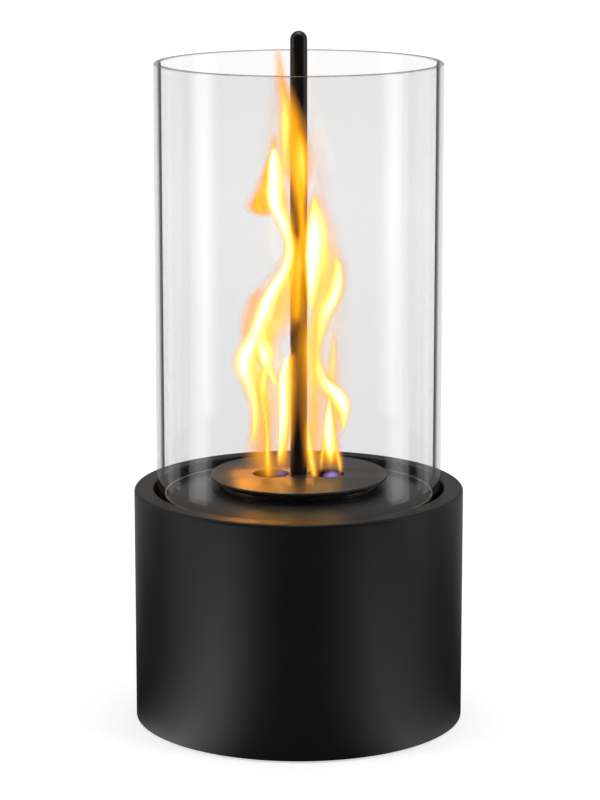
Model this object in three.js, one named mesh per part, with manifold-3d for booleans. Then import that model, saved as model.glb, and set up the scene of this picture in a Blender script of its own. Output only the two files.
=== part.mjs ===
// A table-top bioethanol fireplace: a round steel base with a sunk tray, a fuel cup that
// hangs in the tray, a flame disc on the cup, a rod that turns the shutter under the disc,
// and a glass cylinder that stands in the channel between the tray and the base's rim.
// Millimetres, +Z up. The origin is on the axis, at the floor, under the feet.

import * as THREE from 'three';
import { mergeVertices } from 'three/addons/utils/BufferGeometryUtils.js';
import Module from 'manifold-3d';

const wasm = await Module();
wasm.setup();

// ---------------------------------------------------------------- driving dimensions

// Glass cylinder
const glassDiameter = 138;
const glassWall = 3.3;
const glassHeight = 219.5;
const glassEdge = 1.1;            // radius of its fire-polished edges

// Housing: one spun shell of sheet with a turned-in rim and a ledge that carries the rest
const baseHeight = 115;           // floor to the rim's flat top
const housingSheet = 1.5;
const rimWidth = 9.4;             // from the outside of the base to the rim's inner wall
const rimFillet = 1.7;            // rounded outer edge of the rim
const rimInnerEdge = 0.8;         // small radius where the rim turns down
const channelDepth = 15;          // rim top down to the ledge
const ledgeReach = 10.3;          // how far the ledge runs in under the tray
const glassToRim = 1.6;

// Base plate, feet and what holds them
const footCount = 4;
const footDiameter = 18;
const footHeight = 5;
const footEdge = 1;               // broken lower edge of a foot
const footProud = 1;              // how far the feet reach below the shell's lower edge
const footRecessDepth = 2.6;
const basePlateSheet = 1.5;
const basePlateGap = 0.4;
const bracketSheet = 1.5;
const bracketWidth = 12;
const bracketFoot = 20;
const bracketLeg = 16;
const bracketHoleInset = 11;      // from the bracket's back to its hole
const bracketToWall = 0.5;
const screwHeadHeight = 2.2;
const screwHeadDiameter = 7.2;
const screwSpare = 1.4;           // thread that shows past a nut

// M4 thread sizes that the screws, the studs and the rod's end share
const threadDiameter = 3.8;
const threadHoleGap = 0.3;        // radial gap of every hole over the thread in it
const nutAcrossFlats = 7;
const nutHeight = 3.2;

// Tray: a lip, a flat gutter inside it, a floor that rises gently, and a flat land at the cup
const traySheet = 1;
const trayRecess = 7.4;           // rim top down to the gutter
const trayLip = 1.8;              // height of the lip over the gutter
const trayGutter = 1.8;           // width of the gutter
const trayRise = 4.8;             // how far the floor rises from the gutter to the land
const trayLand = 5;               // width of the land round the cup's hole
const trayToGlass = 0.4;
const studCount = 3;
const studInset = 5.3;            // from the tray's skirt to the studs' axis

// Seal under the glass
const sealThickness = 1.5;
const sealGap = 0.3;

// Fuel cup and its collar
const cupDiameter = 76;
const cupWall = 1;
const cupDepth = 60;
const cupBottomRadius = 5;
const cupFlange = 3.2;            // how far the flange stands out from the cup
const cupToTray = 0.6;
const gasketThickness = 0.5;
const gasketInset = 1;
const collarHeight = 4.1;
const collarWall = 1;
const collarBead = 1.3;           // how far the rolled rim stands out from the collar
const collarBeadHeight = 1.8;

// What fills the cup
const woolGap = 0.5;
const woolHeight = 48.5;
const woolEdge = 2;
const screenSheet = 1;
const screenGap = 0.6;
const screenHoleDiameter = 5;
const screenRings = 3;
const screenRingStep = 9;
const ringSection = 1.5;
const ringGap = 0.3;

// Flame disc, its openings and its hooks
const discDiameter = 86;
const discSheet = 1.2;
const discGap = 2.1;              // from the collar's rim to the disc
const openingDiameter = 17.6;
const openingOffset = 13.4;       // from the axis to the middle of each opening
const hookCount = 3;
const hookWidth = 5;
const hookSheet = 1.2;
const hookDrop = 4;               // how far a hook reaches down inside the collar
const hookGap = 0.4;

// Rod and shutter
const rodDiameter = 8.2;
const rodHeight = 214.5;          // from the disc's top to the rod's tip
const rodShoulderEdge = 0.3;
const journalDiameter = 6;        // the part of the rod that turns in the disc
const journalGap = 0.3;
const shutterSheet = 1;
const shutterToDisc = 0.6;
const shutterOverlap = 1.2;       // how far the shutter covers past each opening
const shutterHubDiameter = 13;
const washerDiameter = 9;
const washerThickness = 0.8;

// How finely round things are divided
const segmentsWide = 56;
const segmentsMiddle = 36;
const segmentsSmall = 16;
const arcSteps = 3;
const edgeSteps = 2;
const holeSegments = 8;
const sixSides = 6;

// ---------------------------------------------------------------- places that follow

const glassRadius = glassDiameter / 2;
const glassInner = glassRadius - glassWall;
const rimInner = glassRadius + glassToRim;
const baseRadius = rimInner + rimWidth;
const shellInner = baseRadius - housingSheet;
const ledgeTop = baseHeight - channelDepth;
const skirtOuter = glassInner - trayToGlass;
const skirtInner = skirtOuter - traySheet;
const ledgeInner = skirtInner - ledgeReach;
const gutterTop = baseHeight - trayRecess;
const gutterInner = skirtInner - trayGutter;
const landTop = gutterTop + trayRise;
const threadRadius = threadDiameter / 2;
const threadHole = threadRadius + threadHoleGap;
const plateTop = footHeight + basePlateSheet;
const cupRadius = cupDiameter / 2;
const cupInner = cupRadius - cupWall;
const cupHole = cupRadius + cupToTray;
const landOuter = cupHole + trayLand;
const flangeUnder = landTop + gasketThickness;
const flangeTop = flangeUnder + cupWall;
const flangeRadius = cupRadius + cupFlange;
const cupFloorTop = flangeTop - cupDepth;
const screenUnder = cupFloorTop + woolHeight;
const collarTop = flangeTop + collarHeight;
const collarInner = cupInner;
const collarOuter = collarInner + collarWall;
const discUnder = collarTop + discGap;
const discTop = discUnder + discSheet;
const openingRadius = openingDiameter / 2;
const shutterTop = discUnder - shutterToDisc;
const shutterUnder = shutterTop - shutterSheet;
const washerUnder = shutterUnder - washerThickness;
const rodNutUnder = washerUnder - nutHeight;
const glassFoot = ledgeTop + sealThickness;

// ---------------------------------------------------------------- finishes

const finish = (color, roughness, metalness, more = {}) =>
  new THREE.MeshStandardMaterial({ color, roughness, metalness, ...more });

const blackCoat = finish(0x1c1c1d, 0.45, 0.2);
const blackRod = finish(0x121213, 0.35, 0.3);
const clearGlass = finish(0xf2f5f5, 0.03, 0, { transparent: true, opacity: 0.3 });
const stainless = finish(0x9a9a98, 0.35, 1);
const zinc = finish(0xb4b6b8, 0.4, 0.9);
const blackRubber = finish(0x151515, 0.85, 0);
const paleSilicone = finish(0x8c8c88, 0.7, 0);
const greyFibre = finish(0xa8a49a, 0.95, 0);
const whiteWool = finish(0xe9e6dd, 1, 0);

// ---------------------------------------------------------------- shape helpers

const point = (x, y) => new THREE.Vector2(x, y);

// Points of an arc about a centre, from one angle to another, both in quarter turns.
function arc(x, y, radius, from, to, steps = arcSteps) {
  const points = [];
  for (let i = 0; i <= steps; i += 1) {
    const angle = (from + (to - from) * i / steps) * Math.PI / 2;
    points.push(point(x + radius * Math.cos(angle), y + radius * Math.sin(angle)));
  }
  return points;
}

// A profile in radius and height, turned round the Z axis. Its points run anticlockwise.
function turned(profile, segments) {
  const geometry = new THREE.LatheGeometry(profile, segments);
  return geometry.rotateX(Math.PI / 2);
}

// The same for a ring, whose profile closes on its first point.
function turnedRing(profile, segments) {
  return turned([...profile, profile[0].clone()], segments);
}

// A plain ring of rectangular section.
function ring(inner, outer, height, segments) {
  const corners = [point(inner, 0), point(outer, 0), point(outer, height), point(inner, height)];
  return turnedRing(corners, segments);
}

// A flat outline raised to a height.
function raised(shape, height) {
  return new THREE.ExtrudeGeometry(shape, { depth: height, bevelEnabled: false });
}

// A circle as an outline of even steps, for a plate or for a hole in one.
function circle(x, y, radius, segments) {
  const points = [];
  for (let i = 0; i < segments; i += 1) {
    const angle = stationAngle(i, segments, 0);
    points.push(point(x + radius * Math.cos(angle), y + radius * Math.sin(angle)));
  }
  return new THREE.Shape(points);
}

// A closed three.js geometry as a solid that can be cut.
function solid(geometry) {
  const bare = geometry.clone();
  bare.deleteAttribute('normal');
  bare.deleteAttribute('uv');
  const merged = mergeVertices(bare);
  return new wasm.Manifold(new wasm.Mesh({
    numProp: 3,
    vertProperties: new Float32Array(merged.attributes.position.array),
    triVerts: new Uint32Array(merged.index.array),
  }));
}

function geometryOf(manifold) {
  const mesh = manifold.getMesh();
  const geometry = new THREE.BufferGeometry();
  geometry.setAttribute('position', new THREE.BufferAttribute(mesh.vertProperties, 3));
  geometry.setIndex(new THREE.BufferAttribute(mesh.triVerts, 1));
  geometry.computeVertexNormals();
  return geometry;
}

// One geometry with others cut out of it.
function cut(geometry, tools) {
  const rest = tools.reduce((body, tool) => body.subtract(solid(tool)), solid(geometry));
  return geometryOf(rest);
}

// A drill for a hole, standing at a radius on the X axis turned by an angle.
function drill(radius, low, high, along, angle, segments = segmentsSmall) {
  const body = new THREE.CylinderGeometry(radius, radius, high - low, segments);
  body.rotateX(Math.PI / 2);
  body.translate(along, 0, (low + high) / 2);
  return body.rotateZ(angle);
}

function piece(name, geometry, material, height = 0) {
  const mesh = new THREE.Mesh(geometry, material);
  mesh.name = name;
  mesh.position.z = height;
  return mesh;
}

// Copies of a set of pieces, each set in a group turned about the axis.
function around(count, start, makeSet) {
  const all = new THREE.Group();
  for (let i = 0; i < count; i += 1) {
    const station = new THREE.Group();
    station.rotation.z = stationAngle(i, count, start);
    makeSet(i + 1).forEach((mesh) => station.add(mesh));
    all.add(station);
  }
  return all;
}

function stationAngle(index, count, start) {
  return start + index * 2 * Math.PI / count;
}

// ---------------------------------------------------------------- fasteners

function hexNut() {
  const shape = new THREE.Shape();
  const corner = nutAcrossFlats / 2 / Math.cos(Math.PI / sixSides);
  for (let i = 0; i < sixSides; i += 1) {
    const angle = (i + 0.5) * 2 * Math.PI / sixSides;
    const go = i === 0 ? 'moveTo' : 'lineTo';
    shape[go](corner * Math.cos(angle), corner * Math.sin(angle));
  }
  shape.closePath();
  shape.holes.push(circle(0, 0, threadHole, segmentsSmall));
  return raised(shape, nutHeight);
}

// A pan-head screw that stands on its head at height 0.
function panScrew(length) {
  const headRadius = screwHeadDiameter / 2;
  const crown = screwHeadHeight / 2;
  const profile = [
    point(0, 0),
    point(headRadius - crown, 0),
    ...arc(headRadius - crown, crown, crown, -1, 0).slice(1),
    point(headRadius, screwHeadHeight),
    point(threadRadius, screwHeadHeight),
    point(threadRadius, screwHeadHeight + length),
    point(0, screwHeadHeight + length),
  ];
  return turned(profile, segmentsSmall);
}

// ---------------------------------------------------------------- base

const footStart = Math.PI / 4;
const studStart = Math.PI / 2;
const bracketBack = shellInner - bracketToWall;
const footAxis = bracketBack - bracketHoleInset;
const studAxis = skirtInner - studInset;
const screwHeadUnder = footRecessDepth - screwHeadHeight;

function housingShell() {
  const filletInner = rimFillet - housingSheet;
  const shellFoot = footProud;
  const under = baseHeight - housingSheet;
  const hemOuter = rimInner + housingSheet;
  const profile = [
    point(baseRadius, shellFoot),
    ...arc(baseRadius - rimFillet, baseHeight - rimFillet, rimFillet, 0, 1),
    ...arc(rimInner + rimInnerEdge, baseHeight - rimInnerEdge, rimInnerEdge, 1, 2),
    point(rimInner, ledgeTop),
    point(ledgeInner, ledgeTop),
    point(ledgeInner, ledgeTop - housingSheet),
    point(hemOuter, ledgeTop - housingSheet),
    point(hemOuter, under),
    ...arc(shellInner - filletInner, under - filletInner, filletInner, 1, 0),
    point(shellInner, shellFoot),
  ];
  const drills = [];
  for (let i = 0; i < studCount; i += 1) {
    const angle = stationAngle(i, studCount, studStart);
    const low = ledgeTop - 2 * housingSheet;
    drills.push(drill(threadHole, low, ledgeTop + housingSheet, studAxis, angle));
  }
  return cut(turnedRing(profile, segmentsWide), drills);
}

function basePlate() {
  const shape = circle(0, 0, shellInner - basePlateGap, segmentsWide);
  for (let i = 0; i < footCount; i += 1) {
    const angle = stationAngle(i, footCount, footStart);
    const x = footAxis * Math.cos(angle);
    const y = footAxis * Math.sin(angle);
    shape.holes.push(circle(x, y, threadHole, segmentsSmall));
  }
  return raised(shape, basePlateSheet);
}

function foot() {
  const radius = footDiameter / 2;
  const recess = screwHeadDiameter / 2 + 2 * threadHoleGap;
  const profile = [
    point(recess, 0),
    point(radius - footEdge, 0),
    point(radius, footEdge),
    point(radius, footHeight),
    point(threadHole, footHeight),
    point(threadHole, footRecessDepth),
    point(recess, footRecessDepth),
  ];
  return turnedRing(profile, segmentsSmall);
}

// An angle bracket: its foot lies on the base plate, its leg stands at the shell's wall.
function bracket() {
  const side = new THREE.Shape();
  side.moveTo(bracketBack - bracketFoot, 0);
  side.lineTo(bracketBack, 0);
  side.lineTo(bracketBack, bracketLeg);
  side.lineTo(bracketBack - bracketSheet, bracketLeg);
  side.lineTo(bracketBack - bracketSheet, bracketSheet);
  side.lineTo(bracketBack - bracketFoot, bracketSheet);
  side.closePath();
  const body = raised(side, bracketWidth);
  body.rotateX(Math.PI / 2);
  body.translate(0, bracketWidth / 2, 0);
  return cut(body, [drill(threadHole, -bracketSheet, 2 * bracketSheet, footAxis, 0)]);
}

function footStation(number) {
  const stack = footHeight - footRecessDepth + basePlateSheet + bracketSheet;
  const set = [
    piece(`foot_${number}`, foot(), blackRubber),
    piece(`foot_screw_${number}`, panScrew(stack + nutHeight + screwSpare), zinc, screwHeadUnder),
    piece(`foot_nut_${number}`, hexNut(), zinc, plateTop + bracketSheet),
  ];
  set.forEach((mesh) => { mesh.position.x = footAxis; });
  return [...set, piece(`base_bracket_${number}`, bracket(), zinc, plateTop)];
}

// The top of the tray's floor from the cup's hole out to the skirt, at a height over itself.
function trayFloor(lift) {
  return [
    point(cupHole, landTop + lift),
    point(landOuter, landTop + lift),
    point(gutterInner, gutterTop + lift),
    point(skirtInner, gutterTop + lift),
  ];
}

// The tray's floor with its lip, and the skirt that stands on the ledge.
function burnerTray() {
  const bend = traySheet / 2;
  const lipTop = gutterTop + trayLip;
  const profile = [
    ...trayFloor(-traySheet),
    point(skirtInner, ledgeTop),
    point(skirtOuter, ledgeTop),
    ...arc(skirtOuter - bend, lipTop - bend, bend, 0, 2),
    ...trayFloor(0).reverse(),
  ];
  return turnedRing(profile, segmentsWide);
}

// A weld stud, cut off along the underside of the tray's floor. What cuts it is turned back
// by the stud's own angle, so that its facets are those of the tray.
function studStation(number) {
  const studLow = ledgeTop - housingSheet - nutHeight - screwSpare;
  const blank = drill(threadRadius, studLow, landTop, studAxis, 0);
  const above = [...trayFloor(-traySheet), ...trayFloor(trayRise).reverse()];
  const cutter = turnedRing(above, segmentsWide);
  cutter.rotateZ(-stationAngle(number - 1, studCount, studStart));
  const stud = cut(blank, [cutter]);
  const nut = piece(`tray_nut_${number}`, hexNut(), zinc, ledgeTop - housingSheet - nutHeight);
  nut.position.x = studAxis;
  return [piece(`tray_stud_${number}`, stud, zinc), nut];
}

function glassSeal() {
  return ring(skirtOuter + sealGap, rimInner - sealGap, sealThickness, segmentsWide);
}

// ---------------------------------------------------------------- glass

function glassCylinder() {
  const profile = [
    ...arc(glassInner + glassEdge, glassEdge, glassEdge, 2, 3, edgeSteps),
    ...arc(glassRadius - glassEdge, glassEdge, glassEdge, 3, 4, edgeSteps),
    ...arc(glassRadius - glassEdge, glassHeight - glassEdge, glassEdge, 0, 1, edgeSteps),
    ...arc(glassInner + glassEdge, glassHeight - glassEdge, glassEdge, 1, 2, edgeSteps),
  ];
  return turnedRing(profile, segmentsWide);
}

// ---------------------------------------------------------------- fuel cup

function fuelCup() {
  const floorUnder = cupFloorTop - cupWall;
  const inside = cupBottomRadius - cupWall;
  const profile = [
    point(0, floorUnder),
    ...arc(cupRadius - cupBottomRadius, floorUnder + cupBottomRadius, cupBottomRadius, -1, 0),
    point(cupRadius, flangeUnder),
    point(flangeRadius, flangeUnder),
    point(flangeRadius, flangeTop),
    point(cupInner, flangeTop),
    ...arc(cupInner - inside, cupFloorTop + inside, inside, 0, -1),
    point(0, cupFloorTop),
  ];
  return turned(profile, segmentsMiddle);
}

// The collar on the cup's flange, with a rolled rim that stands out a little.
function cupCollar() {
  const beadOuter = collarOuter + collarBead;
  const beadUnder = collarHeight - collarBeadHeight;
  const roll = collarBeadHeight / 2;
  const profile = [
    point(collarInner, 0),
    point(collarOuter, 0),
    point(collarOuter, beadUnder),
    ...arc(beadOuter - roll, collarHeight - roll, roll, -1, 1),
    point(collarInner, collarHeight),
  ];
  return turnedRing(profile, segmentsMiddle);
}

function cupGasket() {
  return ring(cupRadius + sealGap, flangeRadius - gasketInset, gasketThickness, segmentsMiddle);
}

// The wool fills the cup's floor, so its lower edge is rounded as the cup's is.
function woolPad() {
  const radius = cupInner - woolGap;
  const corner = cupBottomRadius;
  const profile = [
    point(0, 0),
    ...arc(radius - corner, corner, corner, -1, 0),
    point(radius, woolHeight - woolEdge),
    point(radius - woolEdge, woolHeight),
    point(0, woolHeight),
  ];
  return turned(profile, segmentsMiddle);
}

// A round steel sheet with rings of holes, pressed on the wool.
function screen() {
  const shape = circle(0, 0, cupInner - screenGap, segmentsMiddle);
  const holeRadius = screenHoleDiameter / 2;
  shape.holes.push(circle(0, 0, holeRadius, holeSegments));
  for (let row = 1; row <= screenRings; row += 1) {
    const holes = row * sixSides;
    for (let i = 0; i < holes; i += 1) {
      const angle = stationAngle(i, holes, 0);
      const x = row * screenRingStep * Math.cos(angle);
      const y = row * screenRingStep * Math.sin(angle);
      shape.holes.push(circle(x, y, holeRadius, holeSegments));
    }
  }
  return raised(shape, screenSheet);
}

function screenRing() {
  const outer = cupInner - ringGap;
  return ring(outer - ringSection, outer, ringSection, segmentsMiddle);
}

// ---------------------------------------------------------------- flame disc

function flameDisc() {
  const shape = circle(0, 0, discDiameter / 2, segmentsWide);
  shape.holes.push(circle(0, 0, journalDiameter / 2 + journalGap, segmentsSmall));
  shape.holes.push(circle(openingOffset, 0, openingRadius, segmentsMiddle));
  shape.holes.push(circle(-openingOffset, 0, openingRadius, segmentsMiddle));
  return raised(shape, discSheet);
}

// A hook under the disc: it sits on the collar's rim and reaches down inside it.
function hook() {
  const inside = collarInner - hookGap;
  const side = new THREE.Shape();
  side.moveTo(inside - hookSheet, -hookDrop);
  side.lineTo(inside, -hookDrop);
  side.lineTo(inside, 0);
  side.lineTo(collarOuter, 0);
  side.lineTo(collarOuter, discGap);
  side.lineTo(inside - hookSheet, discGap);
  side.closePath();
  const body = raised(side, hookWidth);
  body.rotateX(Math.PI / 2);
  return body.translate(0, hookWidth / 2, 0);
}

// ---------------------------------------------------------------- rod and shutter

// Tip, bar, shoulder on the disc, journal through the disc, and thread for the shutter's nut.
function rod() {
  const radius = rodDiameter / 2;
  const journal = journalDiameter / 2;
  const profile = [
    point(0, rodNutUnder - screwSpare),
    point(threadRadius, rodNutUnder - screwSpare),
    point(threadRadius, shutterTop),
    point(journal, shutterTop),
    point(journal, discTop),
    point(radius - rodShoulderEdge, discTop),
    point(radius, discTop + rodShoulderEdge),
    ...arc(0, discTop + rodHeight - radius, radius, 0, 1, 2 * arcSteps),
  ];
  profile[profile.length - 1].x = 0;
  return turned(profile, segmentsSmall);
}

// Two round lobes and a hub. At rest the lobes lie clear of the openings, a quarter turn
// from them, and a quarter turn of the rod brings them under the openings.
function shutterPlate() {
  const lobe = openingRadius + shutterOverlap;
  const hub = shutterHubDiameter / 2;
  const arm = (side) => drill(lobe, 0, shutterSheet, 0, 0).translate(0, side * openingOffset, 0);
  const middle = drill(hub, 0, shutterSheet, 0, 0);
  const bar = new THREE.BoxGeometry(hub, 2 * openingOffset, shutterSheet);
  bar.translate(0, 0, shutterSheet / 2);
  const joined = [arm(1), arm(-1), bar].reduce((body, add) => body.add(solid(add)), solid(middle));
  const hole = drill(threadHole, -shutterSheet, 2 * shutterSheet, 0, 0);
  return geometryOf(joined.subtract(solid(hole)));
}

function washer() {
  return ring(threadHole, washerDiameter / 2, washerThickness, segmentsSmall);
}

// ---------------------------------------------------------------- assembly

const fireplace = new THREE.Group();

const base = new THREE.Group();
base.add(piece('housing_shell', housingShell(), blackCoat));
base.add(piece('base_plate', basePlate(), zinc, footHeight));
base.add(around(footCount, footStart, footStation));
base.add(piece('burner_tray', burnerTray(), blackCoat));
base.add(around(studCount, studStart, studStation));
base.add(piece('glass_seal', glassSeal(), paleSilicone, ledgeTop));
fireplace.add(base);

fireplace.add(piece('glass_cylinder', glassCylinder(), clearGlass, glassFoot));

const cup = new THREE.Group();
cup.add(piece('fuel_cup', fuelCup(), stainless));
cup.add(piece('cup_gasket', cupGasket(), greyFibre, landTop));
cup.add(piece('cup_collar', cupCollar(), blackCoat, flangeTop));
cup.add(piece('wool_pad', woolPad(), whiteWool, cupFloorTop));
cup.add(piece('wool_screen', screen(), stainless, screenUnder));
cup.add(piece('screen_ring', screenRing(), stainless, screenUnder + screenSheet));
fireplace.add(cup);

const disc = new THREE.Group();
disc.add(piece('flame_disc', flameDisc(), blackCoat, discUnder));
disc.add(around(hookCount, studStart, (number) => [
  piece(`disc_hook_${number}`, hook(), blackCoat, collarTop),
]));
fireplace.add(disc);

const turning = new THREE.Group();
turning.add(piece('rod', rod(), blackRod));
turning.add(piece('shutter_plate', shutterPlate(), stainless, shutterUnder));
turning.add(piece('shutter_washer', washer(), zinc, washerUnder));
turning.add(piece('shutter_nut', hexNut(), zinc, rodNutUnder));
fireplace.add(turning);

export default fireplace;
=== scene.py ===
# %% [markdown]
# # A table-top bioethanol fireplace
#
# The object is a round steel base with a sunk tray. A fuel cup hangs in the tray, a thin disc
# with two openings lies over the cup, a long rod stands on the disc, and a glass tube stands
# in the channel round the tray. The frame gives every piece at its real size, in metres. This
# file gives each piece its fine surface and its finish, and adds the flame.

import math

import bmesh
import bpy
import numpy as np
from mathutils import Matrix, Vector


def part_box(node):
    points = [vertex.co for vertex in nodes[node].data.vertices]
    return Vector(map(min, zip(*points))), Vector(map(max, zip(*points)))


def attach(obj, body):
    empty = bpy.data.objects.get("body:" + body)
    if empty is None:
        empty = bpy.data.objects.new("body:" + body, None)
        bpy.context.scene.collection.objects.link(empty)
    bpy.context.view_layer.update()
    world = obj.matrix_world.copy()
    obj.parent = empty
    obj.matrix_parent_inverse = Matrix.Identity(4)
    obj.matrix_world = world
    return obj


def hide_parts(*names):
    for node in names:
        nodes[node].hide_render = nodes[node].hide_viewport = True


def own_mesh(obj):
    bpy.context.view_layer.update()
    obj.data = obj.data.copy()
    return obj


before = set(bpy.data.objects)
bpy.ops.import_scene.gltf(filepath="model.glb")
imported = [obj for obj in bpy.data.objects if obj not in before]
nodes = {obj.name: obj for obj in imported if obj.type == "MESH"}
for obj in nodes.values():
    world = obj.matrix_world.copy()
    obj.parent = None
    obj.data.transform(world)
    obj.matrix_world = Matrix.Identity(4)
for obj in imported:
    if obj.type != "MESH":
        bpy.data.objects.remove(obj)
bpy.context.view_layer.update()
print("pieces in the frame:", len(nodes))

# %% [markdown]
# ## The camera
#
# The picture was taken from a metre and a half away, a third of a metre above the rim of the
# base, with a long lens. A long lens keeps the sides of the glass nearly upright. The camera
# stands a hair to the right of the axis, because the object isn't quite in the middle of the
# picture.

# %% The camera
MM = 0.001
PICTURE_HEIGHT = 800
LENS_PIXELS = 3040.1
CAMERA_BACK = 1441.5 * MM
CAMERA_HEIGHT = 456.4 * MM
CAMERA_PITCH = math.radians(11.71)
MIDDLE_PIXEL = 299.5
AXIS_PIXEL = 298.2
SENSOR = 36.0


def place_object(name, data):
    """A new object in the scene, made of a mesh, a curve, a lamp or a camera."""
    thing = bpy.data.objects.new(name, data)
    bpy.context.scene.collection.objects.link(thing)
    return thing


pixels_per_metre = LENS_PIXELS / CAMERA_BACK
camera_data = bpy.data.cameras.new("camera")
camera_data.sensor_width = SENSOR
camera_data.lens = LENS_PIXELS * SENSOR / PICTURE_HEIGHT
camera = place_object("camera", camera_data)
camera_side = (MIDDLE_PIXEL - AXIS_PIXEL) / pixels_per_metre
camera.location = (camera_side, -CAMERA_BACK, CAMERA_HEIGHT)
camera.rotation_euler = (math.pi / 2 - CAMERA_PITCH, 0, 0)
bpy.context.scene.camera = camera
print("lens", round(camera_data.lens, 1), "mm")

# %% [markdown]
# ## Nodes for materials
#
# A finish is a small graph of shader nodes, and a few helpers keep the graphs short. One adds a
# node, sets its values and links what feeds it. The others make what comes back often, such as
# a product, a mix of two shaders, noise, a range or a ramp of colours. A value that is the same
# all over a piece is set on the shader itself, and only what varies comes from nodes.

# %% Node helpers
TONE_ENDS = (0.3, 0.7)


def add_node(tree, kind, values=None, **settings):
    """
    Adds a shader node, sets its attributes and its input values, and links sockets given as
    values. A node given as a value stands for its first output.
    """
    node = tree.nodes.new(kind)
    for key, value in settings.items():
        setattr(node, key, value)
    for key, value in (values or {}).items():
        if isinstance(value, bpy.types.Node):
            value = value.outputs[0]
        if isinstance(value, bpy.types.NodeSocket):
            tree.links.new(value, node.inputs[key])
        else:
            node.inputs[key].default_value = value
    return node


def maths(tree, operation, *values):
    """A sum, a product or the like of two or three numbers or sockets."""
    return add_node(tree, "ShaderNodeMath", dict(enumerate(values)), operation=operation)


def mixed(tree, share, first, second):
    """The first shader where the share is 0, the second where it is 1, and a mix between."""
    return add_node(tree, "ShaderNodeMixShader", {0: share, 1: first, 2: second})


def bare_tree(owner):
    """The graph of a new material or world, with nothing in it."""
    owner.use_nodes = True
    owner.node_tree.nodes.clear()
    return owner.node_tree


def start_material(name, **values):
    """A material with a principled shader whose plain inputs are set from the keywords."""
    material = bpy.data.materials.new(name)
    material.use_nodes = True
    tree = material.node_tree
    shader = tree.nodes["Principled BSDF"]
    for key, value in values.items():
        shader.inputs[key.replace("_", " ")].default_value = value
    return material, tree, shader


def object_noise(tree, scale, detail, stretch=(1, 1, 1)):
    """Noise that is fixed to the piece, in cycles per metre, stretched along the axes."""
    place = add_node(tree, "ShaderNodeTexCoord").outputs["Object"]
    turn = add_node(tree, "ShaderNodeMapping", {"Vector": place, "Scale": stretch})
    values = {"Vector": turn, "Scale": scale, "Detail": detail}
    return add_node(tree, "ShaderNodeTexNoise", values).outputs["Fac"]


def between(tree, factor, low, high):
    """Carries a factor of 0 to 1 over to the range from low to high."""
    values = {"Value": factor, "To Min": low, "To Max": high}
    return add_node(tree, "ShaderNodeMapRange", values).outputs["Result"]


def colours(tree, factor, stops):
    """A colour ramp over a factor, from a list of (position, colour)."""
    ramp = add_node(tree, "ShaderNodeValToRGB", {"Fac": factor})
    elements = ramp.color_ramp.elements
    while len(elements) < len(stops):
        elements.new(1.0)
    for element, (position, colour) in zip(elements, stops):
        element.position = position
        element.color = (*colour, 1.0)
    return ramp.outputs["Color"]


def greys(levels):
    """The stops of a ramp of greys, from a list of (position, level)."""
    return [(position, (level,) * 3) for position, level in levels]


def vary(tree, shader, noise, tones, roughness, ends=TONE_ENDS):
    """Lets a noise choose a shader's colour, from two tones, and its roughness with it."""
    shade = colours(tree, noise, list(zip(ends, tones)))
    tree.links.new(shade, shader.inputs["Base Color"])
    tree.links.new(between(tree, noise, *roughness), shader.inputs["Roughness"])


def bump(tree, shader, height, distance):
    """Gives a shader a bump from a height of 0 to 1 over a real distance in metres."""
    node = add_node(tree, "ShaderNodeBump", {"Height": height, "Distance": distance})
    tree.links.new(node.outputs["Normal"], shader.inputs["Normal"])


# %% [markdown]
# ## Floor, backdrop and lamps
#
# The object stands on a pale floor with nothing round it. The camera sees floor and backdrop
# white. A shiny round thing mirrors the whole studio, so what stands round it is chosen with
# care: white behind, dark on the photographer's side, and a tall white card on each side. The
# cards draw the upright bands on the glass, and two lower ones draw the soft lights on the
# base. Cards that only mirror rays see are a ring of levels round the axis, painted on the
# floor and on the world, so that they shine without lighting anything.

# %% The ring of levels round the axis
# Each row is (turn round the axis in degrees, level): 0 is in front, 90 on the right.
RING_FULL = 3.4
FAR_RING = [
    (-180, 0.50), (-126, 0.40), (-123, 1.0), (-116, 1.0), (-113, 0.06), (-95, 0.06),
    (-92, 1.9), (-76, 1.9), (-73, 0.04), (0, 0.03), (74, 0.04), (77, 1.9), (93, 1.9),
    (96, 0.06), (113, 0.06), (116, 1.0), (123, 1.0), (126, 0.40), (180, 0.50),
]
NEAR_RING = [
    (-180, 1.6), (-155, 0.75), (-128, 0.08), (-95, 0.02), (-78, 0.3), (-62, 1.5), (-48, 3.2),
    (-36, 1.7), (-22, 0.2), (0, 0.06), (20, 0.08), (34, 0.8), (45, 1.8), (56, 1.1),
    (76, 0.3), (95, 0.02), (128, 0.08), (155, 0.75), (180, 1.6),
]


def ring_level(tree, vector, rows):
    """
    The level at the turn where a place or a direction lies: the radial gradient gives the
    turn as a share of a full circle, with half a circle added, and a ramp gives the level.
    """
    quarter = {"Vector": vector, "Rotation": (0, 0, math.pi / 2)}
    turned = add_node(tree, "ShaderNodeMapping", quarter)
    turn = add_node(tree, "ShaderNodeTexGradient", {"Vector": turned}, gradient_type="RADIAL")
    stops = greys([(0.5 + degrees / 360, level / RING_FULL) for degrees, level in rows])
    return maths(tree, "MULTIPLY", colours(tree, turn.outputs["Fac"], stops), RING_FULL)


def mirror_ray(tree, path):
    """1 for a ray that a shiny or clear surface sent on, and 0 for any other."""
    glossy = path.outputs["Is Glossy Ray"]
    return maths(tree, "MAXIMUM", glossy, path.outputs["Is Transmission Ray"])


# %% The floor
FLOOR_REACH = 12.0
FLOOR_COLOUR = (0.80, 0.80, 0.80, 1)
LIFT_REACH = 2.0
LIFT_NEAR = 0.58
LIFT_FAR = 0.94
NEAR_END = 0.42
FAR_START = 0.56


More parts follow.
